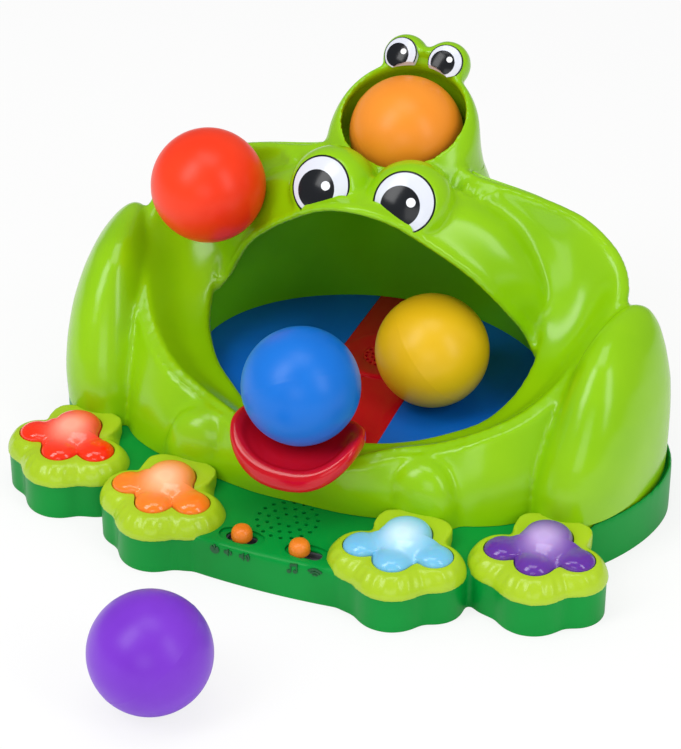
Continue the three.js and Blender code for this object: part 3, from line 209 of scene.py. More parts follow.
def moulded(name, base, shade, roughness, sink=0.05, grain=0.02, ior=ABS_IOR, shine=0.4):
    """Moulded plastic: base and shade are the pigment's two tones, sink and grain the depths of its relief,
    and shine how much light its skin throws back, where 0.5 is a clean polish."""
    material, tree, place = new_material(name)
    cloud, marks, fine = (
        add_node(tree, "TexNoise", {"Scale": 1 / (size * MM), "Detail": detail}, {"Vector": place})
        for size, detail in ((cloud_size, 3), (sink_size, 1), (grain_size, 2)))
    tone = add_node(tree, "ValToRGB", links={"Fac": cloud})
    for stop, position, code in zip(tone.color_ramp.elements, (0.3, 0.6), (shade, base)):
        stop.position, stop.color = position, colour(code)
    deep = add_node(tree, "Bump", {"Strength": sink, "Distance": 2 * MM}, {"Height": marks})
    skin = add_node(tree, "Bump", {"Strength": grain, "Distance": 0.1 * MM}, {"Height": fine, "Normal": deep})
    polish = add_node(tree, "MapRange", {"To Min": roughness * 0.85, "To Max": roughness * 1.2},
                      {"Value": cloud})
    plastic = add_node(tree, "BsdfPrincipled", {"IOR": ior, "Specular IOR Level": shine},
                       {"Base Color": tone, "Roughness": polish, "Normal": skin})
    add_node(tree, "OutputMaterial", links={"Surface": plastic})
    return material


def lit_button(name, base, glow, strength=0.06):
    """Clear tinted plastic over a lamp: the attribute named glow says how much of the lamp comes through."""
    material, tree, place = new_material(name)
    lamp = add_node(tree, "Attribute", attribute_name="glow").outputs["Fac"]
    haze = add_node(tree, "TexNoise", {"Scale": 1 / (haze_size * MM), "Detail": 2}, {"Vector": place})
    soft = add_node(tree, "Math", {1: 0.25}, {0: haze}, operation="MULTIPLY")
    share = add_node(tree, "Math", links={0: lamp, 1: soft, 2: lamp}, operation="MULTIPLY_ADD")
    tone = add_node(tree, "Mix", {"A": colour(base), "B": colour(glow)}, {"Factor": share},
                    data_type="RGBA").outputs["Result"]
    plastic = add_node(tree, "BsdfPrincipled", {
        "IOR": CLEAR_IOR, "Roughness": 0.12, "Emission Strength": strength, "Subsurface Weight": 0.25,
        "Subsurface Scale": 3 * MM}, {"Base Color": tone, "Emission Color": tone})
    add_node(tree, "OutputMaterial", links={"Surface": plastic})
    return material


def plated_steel(name, base, roughness):
    """Nickel plated steel: a bright metal with the fine scratches that rolling leaves along it."""
    material, tree, place = new_material(name)
    stretched = add_node(tree, "Mapping", {"Scale": (1, scratch_stretch, 1)}, {"Vector": place})
    scratch = add_node(tree, "TexNoise", {"Scale": 1 / (scratch_size * MM)}, {"Vector": stretched})
    dull = add_node(tree, "MapRange", {"To Min": roughness * 0.7, "To Max": roughness * 1.4},
                    {"Value": scratch})
    metal = add_node(tree, "BsdfPrincipled", {"Base Color": colour(base), "Metallic": 1}, {"Roughness": dull})
    add_node(tree, "OutputMaterial", links={"Surface": metal})
    return material


def circuit_board(name):
    """Fibreglass board under green solder mask, with copper tracks that show as paler lines."""
    material, tree, place = new_material(name)
    tracks = add_node(tree, "TexBrick", {
        "Color1": colour("#17603A"), "Color2": colour("#1D6E42"), "Mortar": colour("#2F8A55"),
        "Scale": 1 / (track_pitch * MM), "Mortar Size": 0.03}, {"Vector": place})
    mask = add_node(tree, "BsdfPrincipled", {"Roughness": 0.35}, {"Base Color": tracks})
    add_node(tree, "OutputMaterial", links={"Surface": mask})
    return material


materials = {
    "base_green": moulded("abs_green", "#009438", "#008A32", 0.32, sink=0.04, grain=0.05, shine=0.16),
    "lime": moulded("abs_lime", "#92CA08", "#88C205", 0.2),
    "foot_lime": moulded("abs_foot_lime", "#ADCE22", "#A4C61B", 0.24),
    # the shells' lime painted darker: painted shade for the inside of the mouth
    "mouth_green": moulded("abs_lime_painted_shade", "#6CC404", "#62BA03", 0.4, shine=0.2),
    "floor_blue": moulded("abs_blue", "#0A6ED6", "#0864CA", 0.36, sink=0.03, grain=0.06, shine=0.25),
    "red": moulded("abs_red", "#C80C1E", "#BE0919", 0.14, sink=0.03),
    "eye_white": moulded("abs_white", "#DEE2EC", "#D8DCE8", 0.16, sink=0),
    "knob_orange": moulded("abs_orange", "#F08420", "#E87A18", 0.3),
    "grey_plastic": moulded("abs_grey", "#55585C", "#4C4F53", 0.5),
    "steel": plated_steel("nickel_steel", "#C9CCD1", 0.3),
    "board_green": circuit_board("circuit_board"),
    "button_red": lit_button("clear_red", "#F62E06", "#FFA890"),
    "button_orange": lit_button("clear_orange", "#F8801E", "#FFC79A"),
    "button_blue": lit_button("clear_blue", "#74C0E4", "#D0F0FA"),
    "button_purple": lit_button("clear_purple", "#64309F", "#C4A8E2", 0.05),
}
ball_tones = {
    "orange": ("#F2922A", "#EC861E"), "blue": ("#0A72D6", "#0868CA"), "yellow": ("#ECBE1C", "#E4B412"),
    "red": ("#F83E16", "#F0340E"), "purple": ("#7C36CE", "#722CC2"),
}
for tone_name, tones in ball_tones.items():
    materials[f"ball_{tone_name}"] = moulded(
        f"soft_polyethylene_{tone_name}", *tones, 0.33, sink=0.1, grain=0.08, ior=POLYETHYLENE_IOR, shine=0.3)
print("materials:", len(materials))


# %% [markdown]
# The curved shells are drawn as a pattern maker would draw them: a few rails, each through a handful of
# places, and a skin stretched over the rails. Catmull-Rom curves pass through every place, which makes the
# places easy to choose. All of it is worked out as whole arrays.

# %% Curves and skins
MIRROR = (-1, 1, 1)


def spline(knots, count):
    """Catmull-Rom curves with centripetal spacing through knots[k, ..., xyz], at count + 1 even places."""
    knots = np.asarray(knots, float)
    padded = np.concatenate([2 * knots[:1] - knots[1:2], knots, 2 * knots[-1:] - knots[-2:-1]])
    place = np.linspace(0, len(knots) - 1, count + 1)
    start = np.minimum(place.astype(int), len(knots) - 2)
    share = (place - start).reshape((-1,) + (1,) * (knots.ndim - 1))
    p0, p1, p2, p3 = (padded[start + k] for k in range(4))
    d0, d1, d2 = (np.maximum(np.linalg.norm(b - a, axis=-1, keepdims=True) ** 0.5, 1e-3)
                  for a, b in ((p0, p1), (p1, p2), (p2, p3)))
    leave = ((p1 - p0) / d0 - (p2 - p0) / (d0 + d1) + (p2 - p1) / d1) * d1
    arrive = ((p2 - p1) / d1 - (p3 - p1) / (d1 + d2) + (p3 - p2) / d2) * d1
    return (p1 + leave * share + (3 * (p2 - p1) - 2 * leave - arrive) * share ** 2
            + (2 * (p1 - p2) + leave + arrive) * share ** 3)


def smooth_columns(rows, count):
    """The columns of a table, each as a smooth curve through its values."""
    return spline(np.array(rows, float)[:, :, None], count)[..., 0].T


def both_sides(rail):
    """A rail of the right half that starts in the middle, carried over to the left half."""
    return np.concatenate([rail[:0:-1] * MIRROR, rail])


def both_ends(rail):
    """A rail of the right half that ends in the middle, carried on to the left half."""
    return np.concatenate([rail, rail[-2::-1] * MIRROR])


def sheet(first, last, bulge, along, across, carry=both_sides):
    """A grid of points from one rail to another, moved by bulge halfway, and carried to the other half."""
    rails = np.stack([carry(rail) for rail in (first, (first + last) / 2 + bulge, last)], axis=1)
    curves = spline(rails, along)
    return np.swapaxes(spline(np.swapaxes(curves, 0, 1), across), 0, 1)


def unit(vectors):
    return vectors / np.maximum(np.linalg.norm(vectors, axis=-1, keepdims=True), 1e-9)


def grid_faces(rows, columns, around=False, closed=False):
    """Four-sided faces between neighbours of a grid stored row by row; around joins its last column to its
    first, and closed its last row to its first."""
    i = np.arange(rows if closed else rows - 1)[:, None]
    j = np.arange(columns if around else columns - 1)[None, :]
    corner = lambda a, b: (a % rows) * columns + b % columns
    corners = corner(i, j), corner(i, j + 1), corner(i + 1, j + 1), corner(i + 1, j)
    return np.stack(corners, -1).reshape(-1, 4)


def outward(points, faces):
    """Turns the faces over if the volume that they close is negative."""
    a, b, c, d = (points[[face[k] for face in faces]] for k in (0, 1, 2, -1))
    volume = np.einsum("ij,ij->", a, np.cross(b, c)) + np.einsum("ij,ij->", a, np.cross(c, d))
    return [face[::-1] for face in faces] if volume < 0 else faces


def plate(grid, over, under):
    """A wall: a skin thickened by over on its normals' side and by under on the other side."""
    rows, columns = grid.shape[:2]
    low = rows * columns
    normal = unit(np.cross(np.gradient(grid, axis=0), np.gradient(grid, axis=1)))
    points = np.concatenate([(grid + normal * over).reshape(-1, 3), (grid - normal * under).reshape(-1, 3)])
    top = grid_faces(rows, columns)
    edge = np.concatenate([
        np.arange(columns), np.arange(1, rows) * columns + columns - 1,
        (rows - 1) * columns + np.arange(columns - 2, -1, -1), np.arange(rows - 2, 0, -1) * columns])
    following = np.roll(edge, -1)
    side = np.stack([edge, edge + low, following + low, following], -1)
    return points, outward(points, np.concatenate([top, top[:, ::-1] + low, side]).tolist())


def loft(rings, tips=(None, None)):
    """A closed body through rings[k, i, xyz], with a fan of triangles to a tip at each end."""
    rings = np.asarray(rings, float)
    count, sides = rings.shape[:2]
    ends = [rings[end].mean(0) if tip is None else tip for end, tip in zip((0, -1), tips)]
    points = np.concatenate([rings.reshape(-1, 3), ends])
    faces = grid_faces(count, sides, around=True).tolist()
    i = np.arange(sides)
    for end, start, order in ((0, 0, [0, 2, 1]), (1, (count - 1) * sides, [0, 1, 2])):
        fan = np.stack([np.full(sides, count * sides + end), start + i, start + (i + 1) % sides], -1)
        faces += fan[:, order].tolist()
    return points, outward(points, faces)


def hoop(rings):
    """A closed body whose last ring joins its first, such as the rim round a hole."""
    rings = np.asarray(rings, float)
    points = rings.reshape(-1, 3)
    return points, outward(points, grid_faces(*rings.shape[:2], around=True, closed=True).tolist())


def oval(rx, ry, sides, power=2.0):
    """Points round an oval in the level plane: a circle stretched both ways, squarer with a higher power."""
    angle = np.linspace(0, 2 * np.pi, sides, endpoint=False)
    bend = lambda v: np.sign(v) * np.abs(v) ** (2 / power)
    return np.stack([rx * bend(np.cos(angle)), ry * bend(np.sin(angle)), np.zeros(sides)], -1)


def turned(profile, middle, axis, sides=64):
    """A body of revolution about an axis: profile holds [radius, height], from the foot to the top."""
    axis = unit(np.asarray(axis, float))
    profile, middle = np.asarray(profile, float), np.asarray(middle, float)
    side = unit(np.cross(axis, (0, 0, 1)) if abs(axis[2]) < 0.9 else np.cross(axis, (0, 1, 0)))
    ring = oval(1, 1, sides)
    circle = ring[:, :1] * side + ring[:, 1:2] * np.cross(axis, side)
    rings = middle + profile[:, 0, None, None] * circle + profile[:, 1, None, None] * axis
    return loft(rings, [middle + height * axis for height in profile[[0, -1], 1]])


def globe(middle, radius, sides=64, rows=32):
    """A sphere as a stack of rings, closed at both poles."""
    angle = np.linspace(0, np.pi, rows + 1)[1:-1]
    profile = np.stack([radius * np.sin(angle), -radius * np.cos(angle)], -1)
    points, faces = turned(profile, middle, (0, 0, 1), sides)
    points[-2:] = np.asarray(middle) + [[0, 0, -radius], [0, 0, radius]]
    return points, faces


def tube(path, radius, middle, sides=20):
    """A rounded bar along a path: circles square to the path, each started towards a middle point."""
    path = np.asarray(path, float)
    ahead = unit(np.gradient(path, axis=0))
    inward = np.asarray(middle, float) - path
    inward = unit(inward - ahead * (inward * ahead).sum(-1, keepdims=True))
    ring = oval(1, 1, sides)
    circles = inward[:, None] * ring[None, :, :1] + np.cross(ahead, inward)[:, None] * ring[None, :, 1:2]
    return loft(path[:, None] + circles * np.broadcast_to(radius, len(path))[:, None, None])


def level(outline, z):
    """An outline in the level plane, at a height or at one height for each point."""
    outline = np.asarray(outline, float)
    return np.column_stack([outline[:, :2], np.broadcast_to(z, len(outline))])


def slab(outline, bottom, top):
    """A flat plate: one outline in the level plane, between two heights."""
    return loft([level(outline, bottom), level(outline, top)])


def disc(x, y, radius, bottom, top, sides=64):
    return slab(oval(radius, radius, sides) + (x, y, 0), bottom, top)


def block(low, high):
    """A box between two corners."""
    corners = np.array([[x, y, z] for z in (0, 1) for x, y in ((0, 0), (1, 0), (1, 1), (0, 1))])
    faces = [[0, 3, 2, 1], [4, 5, 6, 7], [0, 1, 5, 4], [1, 2, 6, 5], [2, 3, 7, 6], [3, 0, 4, 7]]
    return np.asarray(low) + corners * (np.asarray(high, float) - low), faces


def together(*solids):
    """Several bodies as one set of points and faces."""
    faces, start = [], 0
    for points, body_faces in solids:
        faces += [[corner + start for corner in face] for face in body_faces]
        start += len(points)
    return np.concatenate([points for points, _ in solids]), faces


# %% [markdown]
# A piece becomes a Blender object at the origin, with its place in its mesh. Edges sharper than the crease
# angle stay crisp. Where bodies grow into each other, as arms grow out of a belly, they are melted into one
# skin on a fine grid of cells, and the skin is relaxed: each point moves towards the middle of its
# neighbours, which rounds the inside corners as a real mould does.

# %% Making pieces
crease_angle = math.radians(38)


def to_object(name, solid):
    points, faces = solid
    mesh = bpy.data.meshes.new(name)
    mesh.from_pydata((np.asarray(points) * MM).tolist(), [], faces)
    mesh.update()
    made = bpy.data.objects.new(name, mesh)
    scene.collection.objects.link(made)
    return made


def points_of(mesh):
    points = np.empty(len(mesh.vertices) * 3)
    mesh.vertices.foreach_get("co", points)
    return points.reshape(-1, 3)


def apply_modifiers(made):
    mesh = bpy.data.meshes.new_from_object(made.evaluated_get(bpy.context.evaluated_depsgraph_get()))
    made.modifiers.clear()
    old, made.data = made.data, mesh
    bpy.data.meshes.remove(old)
    mesh.name = made.name


def relax(mesh, rounds, strength=0.5):
    """Moves each point towards the mean of its neighbours, a number of times."""
    points, count = points_of(mesh), len(mesh.vertices)
    pairs = np.empty(len(mesh.edges) * 2, int)
    mesh.edges.foreach_get("vertices", pairs)
    a, b = pairs.reshape(-1, 2).T
    near = np.maximum(np.bincount(a, minlength=count) + np.bincount(b, minlength=count), 1)
    for _ in range(rounds):
        pull = np.stack([np.bincount(a, points[b, k], count) + np.bincount(b, points[a, k], count)
                         for k in range(3)], -1) / near[:, None]
        points += (pull - points) * strength
    mesh.vertices.foreach_set("co", points.ravel())
    mesh.update()


def melted(name, solids, cell, rounds):
    """Bodies that overlap, as one relaxed skin on a grid of cells this many millimetres wide."""
    made = to_object(name, together(*solids))
    remesh = made.modifiers.new("melt", "REMESH")
    remesh.mode, remesh.voxel_size = "VOXEL", cell * MM
    apply_modifiers(made)
    relax(made.data, rounds)
    return made


def drop(made):
    mesh = made.data
    bpy.data.objects.remove(made)
    bpy.data.meshes.remove(mesh)


def carve(made, *solids):
    """Cuts closed bodies out of a piece, one after the other."""
    for solid in solids:
        tool = to_object("tool", solid)
        boolean = made.modifiers.new("carve", "BOOLEAN")
        boolean.operation, boolean.solver, boolean.object = "DIFFERENCE", "MANIFOLD", tool
        apply_modifiers(made)
        drop(tool)
    return made


def carved(solid, tool):
    """A body with another cut out of it, given back as points and faces in millimetres."""
    made = carve(to_object("blank", solid), tool)
    points, faces = points_of(made.data) / MM, [list(face.vertices) for face in made.data.polygons]
    drop(made)
    return points, faces


def finish_piece(made, slot, body="housing", replaces=(), material=None, crease=crease_angle):
    """Paints a piece from its slot, smooths it, and lets it ride on a body in place of CAD nodes."""
    mesh = made.data
    mesh.materials.clear()
    mesh.materials.append(material or materials[slot])
    mesh.polygons.foreach_set("material_index", [0] * len(mesh.polygons))
    mesh.shade_smooth()
    mesh.set_sharp_from_angle(angle=crease)
    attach(made, body)
    if replaces:
        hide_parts(*replaces)
    print(f"{made.name}: {sum(len(face.vertices) - 2 for face in mesh.polygons)} triangles")


# %% [markdown]
# The main sizes come next. Places on the shells are written as shares of the half width of the base, of its
# depth and of the height of the shoulders, as in a pattern book.

# %% Main sizes
half_width, depth, height = 180, 260, 172
deck_height, skirt_height, shell_bottom, floor_top = 24, 30, 24.3, 44
mouth_middle_y, wall = 42.5, 2.4
base_front, base_rear, base_widest, base_power = 106, 142, 32, 1.85
panel_front, panel_half, panel_bow = 111, 62, 4.5
skirt_wall, skirt_front, skirt_rise = 2, -42, 16


def place(shares):
    return np.asarray(shares, float) * (half_width, depth, height)


def on_deck(shares):
    return level(np.asarray(shares, float) * (half_width, depth), shell_bottom)


def level_out(points):
    """Level arrows one millimetre long that point away from the middle of the mouth."""
    return unit((points - (0, mouth_middle_y, 0)) * (1, 1, 0))


def base_outline(inset):
    """Two half ovals that meet at the widest place, drawn in by an inset."""
    ring = oval(1, 1, 240, base_power)
    reach = np.where(ring[:, 1] < 0, base_front + base_widest, base_rear - base_widest) - inset
    return np.column_stack([ring[:, 0] * (half_width - inset), base_widest + ring[:, 1] * reach])


# Crest of the lower lip and the shoulders, from the middle of the front round to its end inside the neck
rim = place([
    [0, -0.246, 0.302], [0.15, -0.231, 0.314], [0.261, -0.188, 0.337], [0.383, -0.146, 0.349],
    [0.511, -0.115, 0.401], [0.622, -0.05, 0.448], [0.706, 0.031, 0.529], [0.786, 0.192, 0.68],
    [0.747, 0.267, 0.773], [0.625, 0.304, 0.862], [0.472, 0.288, 0.932], [0.289, 0.277, 0.97],
    [0.232, 0.283, 0.98],
])
# Edge of the mouth, which runs on as the valley between the upper jaw and the shoulder
mouth_edge = place([
    [0, -0.146, 0.279], [0.15, -0.127, 0.279], [0.278, -0.081, 0.276], [0.378, -0.015, 0.276],
    [0.461, 0.035, 0.302], [0.522, 0.088, 0.366], [0.55, 0.146, 0.442], [0.55, 0.2, 0.552],
    [0.517, 0.242, 0.674], [0.461, 0.254, 0.791], [0.389, 0.258, 0.883], [0.278, 0.254, 0.945],
    [0.222, 0.262, 0.962],
])
sag_shares = np.array([0.01, 0.01, 0.012, 0.02, 0.03, 0.035, 0.045, 0.05, 0.05, 0.045, 0.03, 0.01, 0])
front_foot = on_deck([
    [0, -0.231], [0.15, -0.227], [0.261, -0.219], [0.383, -0.2], [0.511, -0.181], [0.622, -0.138],
    [0.706, -0.038], [0.778, 0.154],
])
print("base:", 2 * half_width, "by", base_front + base_rear, "mm")

# %% [markdown]
# The front shell is one moulding: the two shoulder tracks run down into the lower lip, and the belly wall,
# the arms and the thighs grow out of it. Thighs and arms are stacks of squarish ovals, listed as shares from
# the deck upwards. A rolled bead stiffens the crest and the edge of the mouth, as on most thin mouldings.

# %% The front shell
# Sections: height, middle x, middle y, half width, half depth
thigh_shares = [
    [0.11, 0.803, 0.058, 0.16, 0.215], [0.252, 0.811, 0.056, 0.158, 0.207],
    [0.358, 0.82, 0.065, 0.148, 0.194], [0.464, 0.828, 0.082, 0.13, 0.174],
    [0.555, 0.829, 0.098, 0.107, 0.151], [0.629, 0.828, 0.116, 0.08, 0.124],
    [0.678, 0.825, 0.133, 0.05, 0.09], [0.702, 0.821, 0.146, 0.025, 0.05], [0.71, 0.818, 0.152, 0.005, 0.01],
]
arm_shares = [
    [0.11, 0.367, -0.192, 0.124, 0.046], [0.209, 0.367, -0.192, 0.111, 0.046],
    [0.267, 0.361, -0.19, 0.1, 0.042], [0.308, 0.361, -0.185, 0.078, 0.035],
    [0.331, 0.361, -0.181, 0.05, 0.025], [0.343, 0.361, -0.177, 0.017, 0.012],
]
limb_power = 2.2
thigh_turn = math.radians(11)  # its front end leans towards the middle
skin_thickness, front_bulge = 4, 3
belly_drop = 5  # the belly hangs lower than its place, and is cut flat there
crest_radius, edge_radius = 3.6, 2.8
edge_places = 8  # the bead of the mouth runs from corner to corner, over this many places on each side
mouth_middle = (0, mouth_middle_y, 60)


def limb(shares, side, turn=0, rows=40, sides=96):
    """A limb: ovals whose middle, width and depth follow smooth curves from its foot to its tip."""
    sizes = np.array([height, half_width, depth, half_width, depth])
    z, x, y, rx, ry = (smooth_columns(shares, rows) * sizes[:, None])[:, :, None]
    ring = oval(1, 1, sides, limb_power)
    local_x, local_y = rx * ring[:, 0], ry * ring[:, 1]
    cos, sin = math.cos(-turn * side), math.sin(-turn * side)
    return loft(np.stack([side * x + local_x * cos - local_y * sin, y + local_x * sin + local_y * cos,
                          np.broadcast_to(z, local_x.shape)], -1))


belly_crest = rim[:len(front_foot)]
belly_out = level_out(belly_crest) * front_bulge
belly_out[0] = 0
crest_line = spline(both_sides(rim), 300) - (0, 0, crest_radius * 0.8)
edge_line = spline(both_sides(mouth_edge[:edge_places]), 240) - (0, 0, edge_radius * 0.7)
edge_taper = np.maximum(np.sin(np.linspace(0, np.pi, len(edge_line))) ** 0.15, 0.3)
body_solids = [
    plate(sheet(mouth_edge, rim, sag_shares[:, None] * (0, 0, -height), 240, 36), 0, skin_thickness),
    plate(sheet(belly_crest, front_foot - (0, 0, belly_drop), belly_out, 180, 24), 0, skin_thickness),
    *[limb(thigh_shares, side, thigh_turn) for side in (-1, 1)],
    *[limb(arm_shares, side) for side in (-1, 1)],
    tube(crest_line, crest_radius, mouth_middle), tube(edge_line, edge_radius * edge_taper, mouth_middle)]
print("solids of the front shell:", len(body_solids))

# %% [markdown]
# The upper jaw and the small frog grow out of the shell. The jaw is a skin between the arch of the mouth and
# the valley of the shoulders, with a rolled edge that passes in front of the eyes, and a round bar in the
# valley keeps it shallow. Eye bosses are spheres with a flat face. Small bumps stand behind the eyes, where a
# frog has warts.

# %% The heads
arch = place([
    [0, 0.054, 0.983], [0.12, 0.067, 0.953], [0.225, 0.085, 0.886], [0.318, 0.108, 0.808],
    [0.392, 0.127, 0.73], [0.455, 0.158, 0.627], [0.5, 0.183, 0.54], [0.544, 0.172, 0.468],
])
jaw_root = place([
    [0, 0.277, 0.95], [0.139, 0.269, 0.945], [0.278, 0.254, 0.938], [0.389, 0.258, 0.878],
    [0.461, 0.254, 0.791], [0.517, 0.242, 0.674], [0.54, 0.219, 0.587], [0.555, 0.187, 0.5],
])
jaw_bulge_shares = np.array([0.015, 0.025, 0.04, 0.045, 0.04, 0.04, 0.03, 0.015])
jaw_thickness, lip_bead, far = 3, 2.6, 40
root_overlap, root_drop, root_reach = 4, 1.5, 25  # how the jaw runs into the tracks, so that no gap shows
cavity_drop, cavity_depth = 2.5, 60
big_eye = {
    "x": 24.3, "y": 26, "z": 169.6, "radius": 17, "tilt": (0.1, -0.85, 0.52), "boss": 24.5, "sink": 16.5,
    "pupil": (-0.09, -0.13, 0.65), "glint": (0.25, 0.04, 0.15)}
small_eye = {
    "x": 13.4, "y": 116.5, "z": 210.4, "radius": 9.8, "tilt": (0.12, -0.8, 0.59), "boss": 13.4, "sink": 8.6,
    "pupil": (-0.12, -0.08, 0.7), "glint": (0.25, 0.15, 0.17)}
eye_thickness, eye_gap, seat_over = 3.2, 0.3, 1.6
ring_lean = math.radians(28)
ring_y, ring_z, ring_radius = 87.5, 188.7, 37.2
neck_bulge, neck_root = 5.6, 152
rim_rise, rim_bead = 1, 1.5  # the small frog's lip rises this far in front of its eyes
valley_radius, valley_rise = 3.6, 1.2
# Bumps behind the right eye: middle and radius
warts = np.array([
    [47.8, 63.5, 165, 3.4], [52.8, 68.5, 165, 3], [50.5, 56, 160.8, 3.1], [56.6, 62.5, 161, 3.2],
    [61, 66, 161.6, 2.8], [45.4, 55, 165.4, 2.6],
])
bridge_middle, bridge_radius = (0, 120, 206.5), 8.5  # a ball between the small eyes
ring_axis = np.array([0, -math.sin(ring_lean), math.cos(ring_lean)])
ring_middle = np.array([0, ring_y, ring_z])
lip_line = spline(both_sides(arch), 120)


def eye_axes(eye, side):
    """Middle of an eye, and its axes: to its right, up its face, and out of it."""
    out = unit(np.array(eye["tilt"]) * (side, 1, 1))
    across = unit(np.array([1.0, 0, 0]) - out * out[0])
    return np.array([side * eye["x"], eye["y"], eye["z"]]), across, np.cross(out, across), out


def boss(eye, side):
    """A sphere behind an eye, cut flat just over the plane of the eye's edge."""
    middle, _, _, out = eye_axes(eye, side)
    top = math.asin(math.sqrt(1 - ((eye["radius"] + eye_gap) / eye["boss"]) ** 2))
    angle = np.linspace(-np.pi / 2, top, 40)[1:]
    return turned(np.stack([np.cos(angle), np.sin(angle)], -1) * eye["boss"] - (0, eye["sink"]), middle, out)


def eye_seat(eye, side):
    middle, _, _, out = eye_axes(eye, side)
    radius = eye["radius"] + eye_gap
    return turned([[radius, -eye_thickness - eye_gap], [radius, seat_over]], middle, out, 96)


def along_lip(line, corners):
    """A closed body: four corners at [y, z] from the edge of the jaw, carried along it."""
    return loft(line[:, None] + [[0, y, z] for y, z in corners])


def front_of_lip(over):
    """What lies in front of the lip and below it, from a little over it down."""
    return along_lip(lip_line, [(-far, over), (far, over), (far, -cavity_depth), (-far, -cavity_depth)])


def jaw_solids():
    root = jaw_root + np.array([root_overlap, 0, -root_drop]) * np.minimum(jaw_root[:, :1] / root_reach, 1)
    jaw_out = unit((arch - (0, 0, floor_top)) * (1, 0, 1)) * jaw_bulge_shares[:, None] * height
    skin = sheet(arch, root, jaw_out, 200, 50)
    lip = spline(both_sides(arch), 240) - (0, 0.6, lip_bead)
    valleys = [spline((jaw_root[1:] + (0, 0, valley_rise)) * (side, 1, 1), 90) for side in (-1, 1)]
    # What is under the jaw: its skin, a little lower and longer in front, down to the mouth's floor
    ceiling = np.concatenate([skin[:, :1] - (0, far, cavity_drop), skin - (0, 0, cavity_drop)], axis=1)
    points, faces = plate(ceiling, 0, 0)
    points[len(points) // 2:] -= (0, 0, cavity_depth)
    cavity = points, outward(points, faces)
    return [plate(skin, 0, jaw_thickness), tube(lip, lip_bead, mouth_middle),
            *[tube(valley, valley_radius, mouth_middle) for valley in valleys],
            *[carved(boss(big_eye, side), cavity) for side in (-1, 1)]]


def neck_rings(sections):
    """Circles at [y, z, lean, radius], joined smoothly, each leaning back about the sideways axis. The last
    one also rises along the axis of the small mouth, by rim_rise at its top and by nothing at its bottom."""
    y, z, lean, radius = smooth_columns(sections, 6 * len(sections))[:, :, None]
    across, back, _ = oval(1, 1, 96).T
    rings = np.stack([
        radius * across, y + radius * back * np.cos(lean), z + radius * back * np.sin(lean)], -1)
    late = np.linspace(0, 1, len(rings))[:, None] ** 4 * np.maximum(back, 0) ** 1.5 * rim_rise
    return rings + late[..., None] * ring_axis


def neck_solids():
    swollen, bore = ring_radius + neck_bulge, ring_radius - wall
    chamber = swollen - wall * 1.4
    outside = neck_rings([
        [ring_y - neck_bulge, neck_root - 6, 0, swollen + 10],
        [ring_y - neck_bulge, neck_root + 4, ring_lean * 0.2, swollen + 5.5],
        [ring_y - neck_bulge * 0.3, neck_root + 15, ring_lean * 0.38, swollen + 1.5],
        [ring_y, ring_z - neck_bulge * 1.4, ring_lean * 0.8, swollen - 0.5],
        [ring_y, ring_z - neck_bulge * 0.4, ring_lean, ring_radius + neck_bulge * 0.4],
        [ring_y, ring_z, ring_lean, ring_radius]])
    inside = neck_rings([
        [ring_y - neck_bulge / 2, neck_root - 6, 0, bore],
        [ring_y - neck_bulge / 2, neck_root + wall, 0, bore],
        [ring_y - neck_bulge * 0.2, neck_root + neck_bulge * 2, ring_lean * 0.35, chamber],
        [ring_y, ring_z - neck_bulge * 1.4, ring_lean * 0.8, chamber - 1],
        [ring_y, ring_z - neck_bulge * 0.3, ring_lean, bore], [ring_y, ring_z, ring_lean, bore]])
    lip_ring = (outside[-1] + inside[-1]) / 2
    round_ring = np.concatenate([lip_ring[-2:], lip_ring, lip_ring[:2]])
    room_radius = bore + (wall + rim_bead / 2)
    room = turned([[room_radius, -30], [room_radius, 30]], ring_middle, ring_axis, 96)
    return [hoop(np.concatenate([outside, inside[::-1]])), tube(round_ring, rim_bead, ring_middle),
            *[carved(solid, room) for solid in (
                boss(small_eye, -1), boss(small_eye, 1), globe(bridge_middle, bridge_radius))]]


head_solids = jaw_solids() + neck_solids()
head_solids += [globe(wart[:3] * (side, 1, 1), wart[3], 24, 12) for wart in warts for side in (-1, 1)]
print("solids of the heads:", len(head_solids))

# %% [markdown]
# All these bodies become one skin. What has a crisp edge is cut afterwards: the flat bottom, the notch of
# the tongue's hinge, what would stand over the skirt of the base, the air behind the lip, and the seats of
# the eyes.

# %% The skin of the frog
skin_cell, skin_rounds = 1.7, 6
big_seat_lip, big_lens_lip = -0.9, -1.6  # how far under the edge of the jaw the big seats and lenses end
tongue_notch = block((-22.5, -59, floor_top), (22.5, -32, 66))
skirt_gap, skirt_wide, skirt_low = 0.3, -30, -9


def below(z):
    return block((-2 * half_width, -depth, -height), (2 * half_width, depth, z))


def outside_skirt():
    """What lies over the skirt of the base and outside it, up to its top."""
    wide, narrow = base_outline(skirt_wide), base_outline(skirt_wall + skirt_gap)
    top = skirt_height + skirt_gap
    return hoop([level(wide, skirt_low), level(wide, top), level(narrow, top), level(narrow, skirt_low)])


# The air right behind the lip, under the two big eyes and between them
room_share, room_front, room_floor = 0.34, 2.8, -50
mouth_room = along_lip(lip_line[np.abs(lip_line[:, 0]) < room_share * half_width], [
    (room_front, -4.6), (far, -8), (far, room_floor), (room_front, room_floor)])
# The air in the small frog's mouth, which narrows over the top of its lip
rim_top = rim_rise + rim_bead - 0.4
under_rim, over_rim = ring_radius - 0.5, ring_radius - 4.6
small_seat_room = turned([
    [under_rim, -far], [under_rim, rim_top], [over_rim, rim_top], [over_rim, far]],
    ring_middle, ring_axis, 128)

